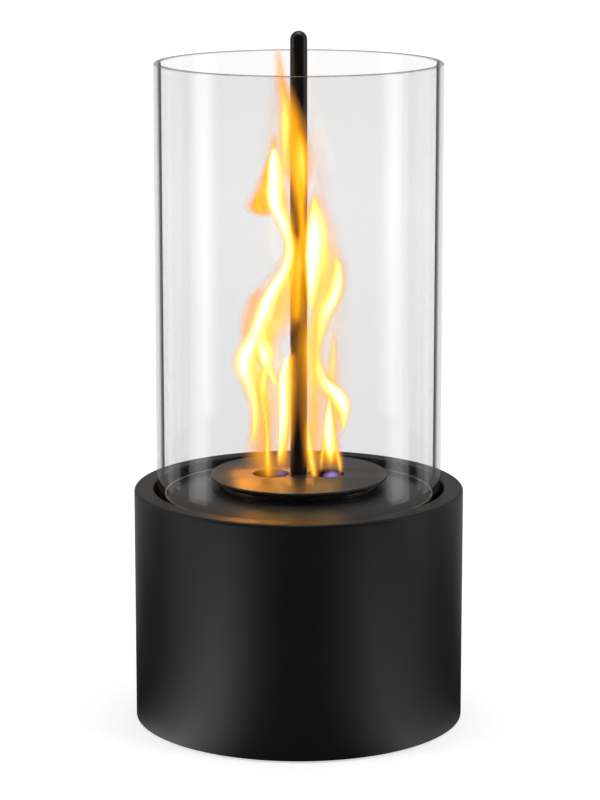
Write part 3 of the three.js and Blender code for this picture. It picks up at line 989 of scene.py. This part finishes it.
# %% [markdown]
# ## The flame
#
# A flame is glowing gas with no surface of its own. It burns in thin sheets, so the eye sees
# clear orange veils with bright ribbons where a sheet is seen edge-on, a peach haze round them
# and a faint blue foot. Layers of thin closed skins, one inside the other, give that from every
# side: a veil has faint orange skins, a dense veil covers more, a ribbon goes from yellow to
# white, a haze is fainter still, and the foot is a pale blue. Each wisp is an upright path with
# a half width at each height, and the wisps of a tongue are one piece.

# %% Skins of the wisps
# For each kind of wisp: how many skins, how far the outermost one reaches to the bright side and
# to the other side and the innermost one to both, the glow of the outermost and the innermost,
# and their veils. The reaches are in half widths. Glow is how hot the gas is, from 0 for the
# blue foot to 1 for white, and veil is how much of what lies behind one skin covers.
SKINS = {
    "veil": (13, (1.28, 1.28, 0.18), (0.17, 0.50), (0.022, 0.12)),
    "dense": (13, (1.28, 1.28, 0.18), (0.17, 0.50), (0.035, 0.20)),
    "ribbon": (14, (2.4, 4.2, 0.25), (0.32, 1.0), (0.025, 0.38)),
    "haze": (10, (1.6, 1.6, 0.15), (0.15, 0.22), (0.008, 0.022)),
    "foot": (8, (1.3, 1.3, 0.25), (0.0, 0.0), (0.04, 0.16)),
}
# The ribbons lie in front of the veils by so many millimetres, all of it from FORWARD_RISE
# above the height where that starts.
RIBBON_FORWARD = 5.0
FORWARD_FROM = 119.0
FORWARD_RISE = 25.0
# %% Wisps of the tongues
# Each wisp is (kind, bright side, rows). The bright side looks at the inside of the tongue: 1
# is the left one, -1 the right one, and at 0 both are alike. Each row is (across, height, half
# width, depth, heat): millimetres to the right of the axis, above the feet, to each side, and
# in front of the axis, and then how strongly it burns.
LEFT = [
    ("veil", 0, [
        (-1.4, 194, 1.6, 12, 0.3), (-1, 200, 2.8, 12, 0.8), (-0.9, 206, 3.4, 12, 1.1),
        (-0.7, 212, 3.8, 12, 1.2), (-0.4, 218, 3.9, 11, 1.3), (0, 224, 3.8, 11, 1.3),
        (0.2, 230, 3.3, 11, 1.2), (0.6, 236, 2.4, 11, 1), (1.2, 243, 1.4, 11, 0.8),
    ]),
    ("veil", 0, [
        (-17.4, 116, 4.6, 0, 0.5), (-19, 124, 6.4, 0, 0.6), (-19.2, 131, 6.8, 0, 0.7),
        (-17.6, 138, 6.8, 0, 0.9), (-16.4, 145, 6.8, 0, 1), (-15.9, 152, 6.8, 0, 1),
        (-16.6, 158, 7.2, 1, 1.2), (-18, 164, 7.8, 1, 1.5), (-19.8, 170, 7.6, 2, 1.6),
        (-21.7, 177, 8, 3, 1.7), (-21, 181, 8, 4, 1.7), (-19.3, 185, 8, 6, 1.6), (-16, 189, 8.5, 8, 1.5),
        (-13.5, 193, 9.3, 10, 1.5), (-11.6, 197, 9.8, 11, 1.4), (-9.5, 201, 10.6, 11, 1.2),
        (-7.9, 206, 10.8, 11, 1.1), (-6.6, 211, 9.9, 11, 1.2), (-5.3, 216, 8.6, 10, 1.3),
        (-3.7, 220, 7, 9, 1.4), (-1.9, 225, 5.3, 9, 1.3), (-1.3, 230, 4.6, 9, 1.2),
        (-1.7, 235, 4.1, 9, 1), (-3, 240, 2.4, 8, 0.7), (-4.5, 244, 0.8, 8, 0.3),
    ]),
    ("ribbon", 1, [
        (-25, 131.5, 0.6, 1, 0.2), (-22.7, 138, 1, 1, 0.35), (-21.6, 144, 1.1, 1, 0.5),
        (-21.2, 150, 1.2, 1, 0.6), (-21.6, 156, 1.4, 1, 0.65), (-22.8, 162, 1.6, 2, 0.75),
        (-24.6, 168, 1.9, 2, 0.85), (-26.5, 173, 2.2, 3, 0.95), (-27, 177, 2.3, 3, 1),
        (-26, 181.5, 2.6, 4, 1), (-23.5, 186, 3, 6, 1), (-21.2, 190.5, 2.8, 8, 1),
        (-19.8, 195.5, 2.4, 10, 1), (-18.1, 200.5, 2.4, 11, 1), (-16.7, 205.5, 2.2, 12, 1),
        (-14.8, 210.5, 2, 12, 1), (-12.3, 215.2, 1.9, 11, 1), (-9.3, 219.8, 1.7, 10, 1),
        (-6.7, 224.5, 1.4, 9, 1), (-5.3, 229, 1.2, 8, 1), (-4.9, 234, 1, 8, 0.9), (-5, 240, 0.9, 8, 0.8),
        (-6.4, 245, 0.9, 8, 0.8),
    ]),
    ("ribbon", 1, [
        (-10.2, 164, 0.6, 2, 0.5), (-11.8, 168, 0.9, 2, 0.6), (-14, 172.5, 1.2, 3, 0.7),
        (-15.8, 177, 1.7, 4, 0.8), (-17, 182, 2.4, 5, 0.9), (-18, 187, 2.6, 7, 0.9),
        (-18.4, 192, 1.6, 9, 0.8), (-17, 198, 1, 11, 0.7), (-15, 204, 0.6, 12, 0.6),
    ]),
    ("ribbon", 0, [
        (-14.8, 117, 0.8, 3, 0.3), (-15, 126, 0.9, 3, 0.45), (-15.2, 133, 0.8, 3, 0.45),
        (-15.2, 140, 0.8, 3, 0.4), (-15.7, 147, 0.9, 3, 0.35), (-16.6, 154, 1.1, 3, 0.35),
        (-17.6, 161, 1.3, 3, 0.4), (-17.2, 168, 1.5, 4, 0.5), (-16, 174, 1.4, 4, 0.5),
        (-15.4, 180, 0.8, 5, 0.5),
    ]),
]
INNER = [
    ("veil", 0, [
        (-14, 117.5, 5.2, 5, 0.5), (-14.4, 122, 6, 5, 0.6), (-15, 128, 5.6, 5, 0.55),
        (-15.6, 136, 4.6, 4, 0.45), (-16, 145, 3.2, 3, 0.3), (-16.2, 154, 1.6, 3, 0.2),
    ]),
    ("veil", 0, [
        (-8.2, 119.5, 3.8, 1, 0.3), (-7.8, 125, 3.7, 1, 0.5), (-7.2, 131, 3.2, 2, 0.75),
        (-6.2, 138, 3.2, 4, 1), (-5.8, 146, 3.4, 6, 1), (-5.6, 154, 3.6, 6, 1), (-5.7, 161, 3.9, 7, 1),
        (-5.8, 168, 4.2, 8, 1), (-5.2, 173, 4, 8, 1), (-4.2, 177.5, 3.1, 8, 1), (-3, 181, 1.9, 8, 0.8),
        (-2, 184.5, 0.4, 8, 0.4),
    ]),
    ("ribbon", 1, [
        (-9.9, 123, 0.8, 1, 0.3), (-9.2, 131, 1, 2, 0.5), (-8.5, 138, 1.1, 2, 0.75),
        (-8, 145, 1.2, 3, 0.9), (-7.8, 152, 1.3, 3, 1), (-7.8, 159, 1.5, 3, 1), (-7.7, 166, 1.7, 3, 1),
        (-7.3, 172, 1.5, 3, 1), (-6.4, 177, 1.1, 3, 1), (-5.3, 182, 0.5, 3, 1),
    ]),
]
STEM = [
    ("veil", 0, [
        (-4.8, 228, 1.8, 8, 0.9), (-5, 235, 2, 8, 1), (-5.6, 240, 2.4, 7, 1), (-7, 245, 3.4, 6, 1),
        (-8.2, 250, 4.4, 4, 1), (-9.2, 255, 5.4, 3, 1), (-10, 259, 5.6, 2, 1), (-11.2, 263, 4.6, 2, 1),
        (-12.1, 268, 3.5, 2, 1), (-12.2, 274, 3.1, 2, 1), (-11.9, 280, 2.6, 2, 0.9),
        (-11.6, 285, 1.9, 2, 0.7), (-11.3, 292, 0.6, 2, 0.3),
    ]),
    ("ribbon", 1, [
        (-7.4, 221, 1, 9, 0.8), (-5.6, 227, 1.1, 8, 0.9), (-4.9, 232, 1.1, 8, 1), (-5, 236, 1.1, 8, 1),
        (-5.9, 240, 1.2, 7, 1), (-7.7, 245, 1.6, 6, 1), (-10, 250, 1.9, 5, 1), (-11.9, 255, 2, 4, 1),
        (-12.4, 260, 2.1, 3, 1), (-12.3, 266, 2, 3, 1), (-12.2, 272, 1.8, 3, 1), (-12, 277, 1.3, 3, 1),
        (-11.8, 283, 0.6, 3, 0.8),
    ]),
]
HOOK = [
    ("dense", 0, [
        (-16.6, 245.5, 3.6, 2, 0.5), (-17.6, 249.5, 6, 2, 1), (-18.6, 253, 6.4, 2, 1.2),
        (-17.6, 257, 5.6, 2, 1.2), (-16.4, 261.5, 4.6, 2, 1.1), (-15.4, 266.5, 3.4, 2, 0.9),
        (-14.6, 272.5, 2.4, 2, 0.6), (-14, 280, 1.4, 2, 0.3),
    ]),
    ("dense", 0, [
        (-17, 247.5, 3, 4, 0.9), (-18.4, 251, 4.4, 4, 1.2), (-19.4, 254, 3.6, 4, 1.2),
        (-18.6, 257.5, 2.2, 4, 1.1), (-17.4, 262, 0.8, 4, 0.8),
    ]),
]
CROSSING = [
    ("dense", 0, [
        (1.5, 226, 1.8, 10, 0.9), (1.8, 234, 2.1, 10, 1), (1.8, 242, 2.3, 10, 1), (1.5, 250, 2.5, 10, 1),
        (0.9, 258, 3.4, 10, 1.1), (0.2, 264, 4.6, 10, 1.2), (-0.2, 270, 6.2, 10, 1.3),
        (-0.2, 276, 6.7, 10, 1.3), (-1, 282, 6.5, 10, 1.2), (-2, 288, 6.1, 10, 0.9),
        (-3, 295, 5.6, 9, 0.7), (-4.6, 301, 4.9, 9, 0.6), (-6.3, 307, 4.2, 8, 0.55),
        (-7.8, 313, 3.4, 8, 0.5), (-9, 320, 2.5, 7, 0.45), (-9.7, 328, 1.6, 7, 0.3),
        (-10, 335, 0.6, 7, 0.2),
    ]),
    ("ribbon", 1, [
        (-6.2, 262, 0.9, 8, 0.2), (-6.5, 273, 1.4, 8, 0.33), (-6.6, 283, 1.7, 8, 0.45),
        (-6.6, 290, 1.9, 8, 0.5), (-6.6, 297, 1.8, 8, 0.46), (-7.1, 304, 1.4, 8, 0.33),
        (-8.2, 311, 1, 8, 0.2), (-9.4, 319, 0.6, 8, 0.1),
    ]),
    ("ribbon", -1, [
        (2.4, 250, 1, 9, 0.1), (2.4, 261, 1.5, 9, 0.22), (2.1, 270, 2, 9, 0.34), (1.5, 278, 2.2, 9, 0.36),
        (0.4, 286, 2, 9, 0.22), (-1.6, 295, 1.3, 9, 0.08),
    ]),
]
RIGHT = [
    ("veil", 0, [
        (7.6, 117, 2.4, 4, 0.4), (7.4, 130, 4.2, 5, 0.7), (7.4, 140, 5.2, 6, 0.9), (7.6, 150, 5.8, 6, 1),
        (7.4, 160, 5.8, 7, 1.1), (6.8, 168, 5.8, 8, 1.3), (6, 176, 5.6, 8, 1.4), (5.5, 183, 5.4, 8, 1.4),
        (6.1, 190, 5.3, 8, 1.4), (7.7, 196, 5.9, 7, 1.4), (9.8, 202, 6.8, 6, 1.5),
        (11.2, 208, 7.8, 5, 1.4), (12.3, 214, 8.8, 4, 1.3), (12.7, 220, 9.1, 4, 1.3),
        (12.4, 226, 8.8, 4, 1.5), (11.6, 230, 8, 4, 1.6), (10.2, 234, 6.6, 4, 1.6),
        (8.1, 238, 4.7, 4, 1.5), (7.3, 244, 3.9, 4, 1), (7.1, 250, 3.5, 4, 0.9), (7.1, 256, 3, 4, 0.55),
        (7.3, 262, 1.2, 4, 0.3),
    ]),
    ("ribbon", 1, [
        (5.6, 200, 0.8, 4, 0.5), (5.8, 208, 1.2, 4, 0.7), (6, 216, 1.7, 4, 0.9), (6.1, 224, 2.2, 4, 1),
        (6.3, 231, 2.6, 4, 1), (6.8, 237, 2.8, 4, 1), (7.1, 243, 2.6, 4, 0.95), (7.3, 249, 2, 4, 0.8),
        (7.4, 256, 1.3, 4, 0.5), (7.5, 264, 0.6, 4, 0.25),
    ]),
    ("ribbon", -1, [
        (20.4, 140, 0.6, 1, 0.3), (21.8, 147, 1, 1, 0.5), (22.2, 153.5, 1.6, 1, 0.8),
        (20.8, 159, 2.3, 1, 1), (17.8, 163.5, 2.5, 2, 1), (14.4, 167, 2.2, 3, 0.9),
        (11.4, 171, 1.7, 4, 0.75), (9.8, 176, 1.6, 5, 0.55), (9.2, 181, 1.5, 6, 0.4),
        (9.6, 187, 1.5, 6, 0.4), (10.8, 193, 1.6, 6, 0.55), (11.9, 198, 1.7, 6, 0.7),
        (13.6, 202.5, 1.9, 5, 0.85), (15.4, 206.5, 2, 5, 0.9), (17.3, 210.5, 1.9, 5, 0.9),
        (18.8, 215, 1.8, 4, 0.9), (19.2, 220, 1.5, 4, 0.8), (18.8, 226, 1.2, 4, 0.65),
        (17.4, 232, 0.7, 4, 0.45),
    ]),
]
LOW = [
    ("veil", 0, [
        (16, 120, 5.5, 2, 0.4), (15.5, 126, 5.5, 2, 0.7), (15.3, 132, 5.1, 2, 0.8),
        (15.9, 138, 4.4, 2, 0.9), (17, 144, 4.5, 2, 0.9), (17.9, 150, 4.9, 1, 1), (17.9, 155, 5.9, 1, 1),
        (16.8, 160, 5.8, 1, 1), (15.7, 165, 4.7, 1, 1), (15.9, 170, 3.6, 1, 1.4),
        (16.4, 176, 2.6, 1, 1.6), (16.8, 182, 1.7, 1, 1.6), (17.1, 188, 1.1, 1, 1.6),
        (17.3, 195, 0.6, 1, 1.5),
    ]),
    ("ribbon", 0, [
        (10.7, 121, 0.6, 3, 0.25), (11, 128, 0.8, 3, 0.35), (11.8, 134, 0.9, 3, 0.4),
        (13.1, 140, 0.9, 3, 0.4), (14.2, 147, 0.6, 3, 0.3),
    ]),
    ("ribbon", 0, [
        (20.4, 120, 0.6, 3, 0.25), (19.9, 126, 0.8, 3, 0.4), (18.9, 131, 1, 3, 0.45),
        (17.5, 136, 1, 3, 0.45), (16, 142, 0.8, 3, 0.4), (15, 149, 0.5, 3, 0.3),
    ]),
    ("ribbon", 0, [
        (15.6, 124, 1.3, 3, 0.12), (15.5, 129, 1.6, 3, 0.4), (15.2, 134, 1.8, 3, 0.8),
        (14.8, 139, 1.8, 3, 1), (14.5, 144, 1.6, 3, 1), (14.5, 149, 1.3, 3, 1), (14.6, 154, 0.9, 3, 0.9),
        (14.8, 160, 0.5, 3, 0.6), (15, 167, 0.3, 3, 0.4),
    ]),
    ("ribbon", 0, [
        (8, 116, 0.9, 6, 0.2), (7.4, 122, 1.2, 6, 0.36), (6.4, 128, 1.4, 6, 0.4), (5.6, 134, 1.3, 6, 0.4),
        (5, 140, 1.1, 6, 0.36), (4.6, 147, 0.8, 6, 0.3), (4.4, 155, 0.5, 6, 0.25),
    ]),
]
HAZE = [
    ("haze", 0, [
        (-0.4, 140, 1.6, 11, 0.1), (-0.4, 152, 3, 11, 0.4), (-0.3, 166, 3.6, 11, 0.8),
        (-0.2, 178, 3.6, 11, 1), (0.2, 190, 3.2, 11, 1), (1.4, 199, 2.4, 12, 0.9),
        (2.6, 207, 1.4, 12, 0.8), (3.1, 216, 0.4, 12, 0.6),
    ]),
    ("haze", 0, [
        (-2, 232, 1.2, 11, 1), (-2.2, 240, 2.2, 11, 1), (-2.2, 250, 2.4, 11, 0.9),
        (-1.9, 259, 2.5, 11, 1), (-1.6, 267, 2.6, 11, 1), (-1.4, 276, 1.4, 11, 1),
    ]),
    ("haze", 0, [
        (-8.5, 262, 1.2, 1, 1.5), (-8.3, 270, 2.6, 1, 2), (-8.2, 279, 2.8, 1, 2),
        (-8.6, 288, 2.2, 1, 1.6), (-9.4, 297, 1.2, 1, 1),
    ]),
    ("veil", 0, [
        (-27.2, 184, 1.2, 2, 0.3), (-26.2, 190, 2.6, 3, 0.6), (-24.6, 197, 3.6, 4, 0.8),
        (-22.6, 204, 3.8, 5, 0.8), (-19.8, 211, 3.2, 5, 0.6), (-16, 217, 2, 5, 0.3),
    ]),
    ("haze", 0, [
        (-25, 202, 2, 5, 0.6), (-22, 208, 3.4, 5, 1), (-18.2, 213, 2.8, 5, 1), (-14.8, 218, 2.2, 5, 1),
        (-10.8, 223, 1.8, 5, 1), (-8.2, 229, 1.4, 5, 1), (-7, 236, 0.8, 5, 1),
    ]),
    ("haze", 0, [
        (19, 156, 3, 0, 0.6), (17.8, 170, 5, 0, 0.8), (17.4, 182, 5.6, 0, 0.9), (17.6, 194, 5.4, 0, 1),
        (19, 206, 4.4, 0, 1), (20.6, 218, 3.2, 0, 1), (18.4, 230, 3.2, 0, 1), (14.6, 242, 3.4, 0, 1),
        (11.8, 254, 3.6, 1, 1), (10, 266, 3.6, 1, 1), (8.4, 278, 3.2, 2, 0.9), (6.6, 290, 2.4, 2, 0.7),
        (5, 302, 1.2, 3, 0.5),
    ]),
    ("haze", 0, [
        (-16, 262, 2.4, 1, 0.6), (-14.6, 276, 2.8, 1, 0.8), (-12.4, 290, 3, 2, 0.8),
        (-10.8, 304, 2.8, 3, 0.8), (-10.2, 318, 2.2, 4, 0.6), (-10, 334, 1, 5, 0.4),
    ]),
]
FOOT = [
    ("foot", 0, [
        (-8.6, 118.6, 3.6, 0, 0.15), (-8.4, 120.6, 4.2, 0, 0.25), (-8, 122.6, 3.6, 0, 0.2),
        (-7.6, 125, 1.6, 0, 0.1),
    ]),
    ("foot", 0, [
        (15.6, 118.6, 3.2, 4, 1), (15.9, 120.4, 3.8, 4, 1), (16.2, 122, 3.2, 4, 1),
        (16.4, 124.2, 1.2, 4, 0.7),
    ]),
]


# %% Making the skins
WISP_STEPS = 48
WISP_SIDES = 16
WISP_DEPTH = 0.55
INNER_DRAW = 0.05
LEAST_WIDTH = 0.1
END_ROUND = 0.6
END_FADE = 1.4
BRIGHT_PART = 0.75
COOL_PART = 0.4


def layers(kind):
    """
    The reaches, the glow and the veil of each skin, from the outermost one in. Reaches and
    glow go evenly from one end to the other, and the veil grows with the square of the way.
    """
    count, (bright, other, inmost), (cool, hot), (thin, dense) = SKINS[kind]
    way = np.linspace(0, 1, count)
    columns = [
        bright + (inmost - bright) * way,
        other + (inmost - other) * way,
        cool + (hot - cool) * way,
        thin + (dense - thin) * way**2,
    ]
    return np.stack(columns, 1)


def smooth_path(rows, t):
    """
    A smooth curve through the rows, read at places t counted in rows. Each span is a cubic
    whose slope at a row is half the step from the row before to the row after.
    """
    slope = np.gradient(rows, axis=0)
    i = np.clip(t.astype(int), 0, len(rows) - 2)
    s = (t - i)[:, None]
    a, b = rows[i], rows[i + 1]
    da, db = slope[i], slope[i + 1]
    return (
        (2 * s**3 - 3 * s**2 + 1) * a
        + (s**3 - 2 * s**2 + s) * da
        + (3 * s**2 - 2 * s**3) * b
        + (s**3 - s**2) * db
    )


def skin(rows, reach_left, reach_right):
    """
    One closed skin: rings of points round the path between two poles. A ring is an ellipse
    that reaches so many half widths to each side of the path, and whose other radius lies
    towards the viewer. A narrower skin starts and ends a little further in. The skin also gets
    its heat, and a share that fades it out towards both ends.
    """
    share = (reach_left + reach_right) / 2
    ends = INNER_DRAW * max(0, 1 - share) * (len(rows) - 1)
    t = np.linspace(ends, len(rows) - 1 - ends, WISP_STEPS)
    path = smooth_path(rows, t)
    width = np.maximum(path[:, 2], LEAST_WIDTH)
    path[:, 0] += width * (reach_right - reach_left) / 2
    centre = np.stack([path[:, 0], -path[:, 3], path[:, 1]], 1) * MM
    from_end = np.minimum(t - t[0], t[-1] - t)
    half = width * share * MM * np.sqrt(np.clip(from_end / END_ROUND, 0, 1))
    turn = np.arange(WISP_SIDES) * 2 * math.pi / WISP_SIDES
    ring = np.stack([np.cos(turn), WISP_DEPTH * np.sin(turn), np.zeros(WISP_SIDES)], 1)
    rings = centre[:, None] + half[:, None, None] * ring
    points = np.concatenate([centre[:1], rings[1:-1].reshape(-1, 3), centre[-1:]])
    fade = np.clip(from_end / END_FADE, 0, 1)
    gas = np.stack([path[:, 4], fade * fade * (3 - 2 * fade)], 1)
    gas = np.concatenate([gas[:1], np.repeat(gas[1:-1], WISP_SIDES, 0), gas[-1:]])
    j = np.arange(WISP_SIDES)
    next_j = (j + 1) % WISP_SIDES
    low_j = np.arange(WISP_STEPS - 3)[:, None] * WISP_SIDES + 1
    high_j = low_j + WISP_SIDES
    quads = np.stack([low_j + j, low_j + next_j, high_j + next_j, high_j + j], 2)
    last = len(points) - 1
    top = last - WISP_SIDES
    low_fan = np.stack([np.zeros_like(j), 1 + next_j, 1 + j], 1)
    top_fan = np.stack([np.full_like(j, last), top + j, top + next_j], 1)
    return points, gas, quads.reshape(-1, 4), np.concatenate([low_fan, top_fan])


def tongue(name, wisps):
    """A tongue: the skins of all its wisps in one mesh, with glow and veil at each point."""
    points, faces, glow, veil = [], [], [], []
    count = 0
    for kind, side, rows in wisps:
        rows = np.array(rows, float)
        if kind == "ribbon":
            rise = np.clip((rows[:, 1] - FORWARD_FROM) / FORWARD_RISE, 0, 1)
            rows[:, 3] += RIBBON_FORWARD * rise
        for bright, other, hot, cover in layers(kind):
            even = BRIGHT_PART * bright + (1 - BRIGHT_PART) * other
            left, right = {1: (bright, other), -1: (other, bright), 0: (even, even)}[side]
            skin_points, gas, quads, fans = skin(rows, left, right)
            heat = np.maximum(gas[:, 0], 0)
            points.append(skin_points)
            faces += (quads + count).tolist() + (fans + count).tolist()
            glow.append(np.minimum(hot * (COOL_PART + (1 - COOL_PART) * heat), 1))
            veil.append(cover * np.minimum(heat, 1) * gas[:, 1])
            count += len(skin_points)
    mesh = bpy.data.meshes.new(name)
    mesh.from_pydata(np.concatenate(points).tolist(), [], faces)
    for label, values in (("glow", glow), ("veil", veil)):
        attribute = mesh.attributes.new(label, "FLOAT", "POINT")
        attribute.data.foreach_set("value", np.concatenate(values).astype(np.float32))
    mesh.shade_smooth()
    print(name, len(faces), "faces")
    return place_object(name, mesh)


# %% The glow of the flame
GLOW_COLOURS = [
    (0.0, (0.52, 0.38, 0.95)),
    (0.10, (1.0, 0.34, 0.06)),
    (0.30, (1.0, 0.36, 0.0)),
    (0.48, (1.0, 0.46, 0.01)),
    (0.62, (1.0, 0.68, 0.11)),
    (0.76, (1.0, 0.86, 0.34)),
    (0.90, (1.0, 0.97, 0.72)),
    (1.0, (1.0, 1.0, 0.96)),
]
GLOW_LOW = 1.15
GLOW_RISE = 3.4
STREAK_SCALE = 110.0
STREAK_TALL = 0.22
STREAK_VEIL = (0.55, 1.45)
STREAK_GLOW = (-0.09, 0.09)


def flame_material():
    """
    Light whose colour and strength come from how hot the gas is, seen through by the veil.
    The strength grows with the square of the glow. Upright streaks of noise make the gas
    denser and hotter in some places than in others.
    """
    material = bpy.data.materials.new("flame_glow")
    tree = bare_tree(material)
    hot = add_node(tree, "ShaderNodeAttribute", attribute_name="glow").outputs["Fac"]
    cover = add_node(tree, "ShaderNodeAttribute", attribute_name="veil").outputs["Fac"]
    streaks = object_noise(tree, STREAK_SCALE, 1.0, (1, 1, STREAK_TALL))
    dense = maths(tree, "MULTIPLY", cover, between(tree, streaks, *STREAK_VEIL))
    hotter = maths(tree, "ADD", hot, between(tree, streaks, *STREAK_GLOW))
    square = maths(tree, "MULTIPLY", hotter, hotter)
    strength = maths(tree, "MULTIPLY_ADD", square, GLOW_RISE, GLOW_LOW)
    body = colours(tree, hotter, GLOW_COLOURS)
    glow = add_node(tree, "ShaderNodeEmission", {"Color": body, "Strength": strength})
    clear = add_node(tree, "ShaderNodeBsdfTransparent")
    add_node(tree, "ShaderNodeOutputMaterial", {"Surface": mixed(tree, dense, clear, glow)})
    return material


# %% The tongues
flame_finish = flame_material()
tongues = {
    "flame_left": LEFT,
    "flame_inner": INNER,
    "flame_stem": STEM,
    "flame_hook": HOOK,
    "flame_crossing": CROSSING,
    "flame_right": RIGHT,
    "flame_low": LOW,
    "flame_haze": HAZE,
    "flame_foot": FOOT,
}
for name, wisps in tongues.items():
    gas = tongue(name, wisps)
    gas.data.materials.append(flame_finish)
    gas.visible_shadow = False
    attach(gas, "cup")
    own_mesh(gas)
bpy.context.scene.cycles.transparent_max_bounces = 160
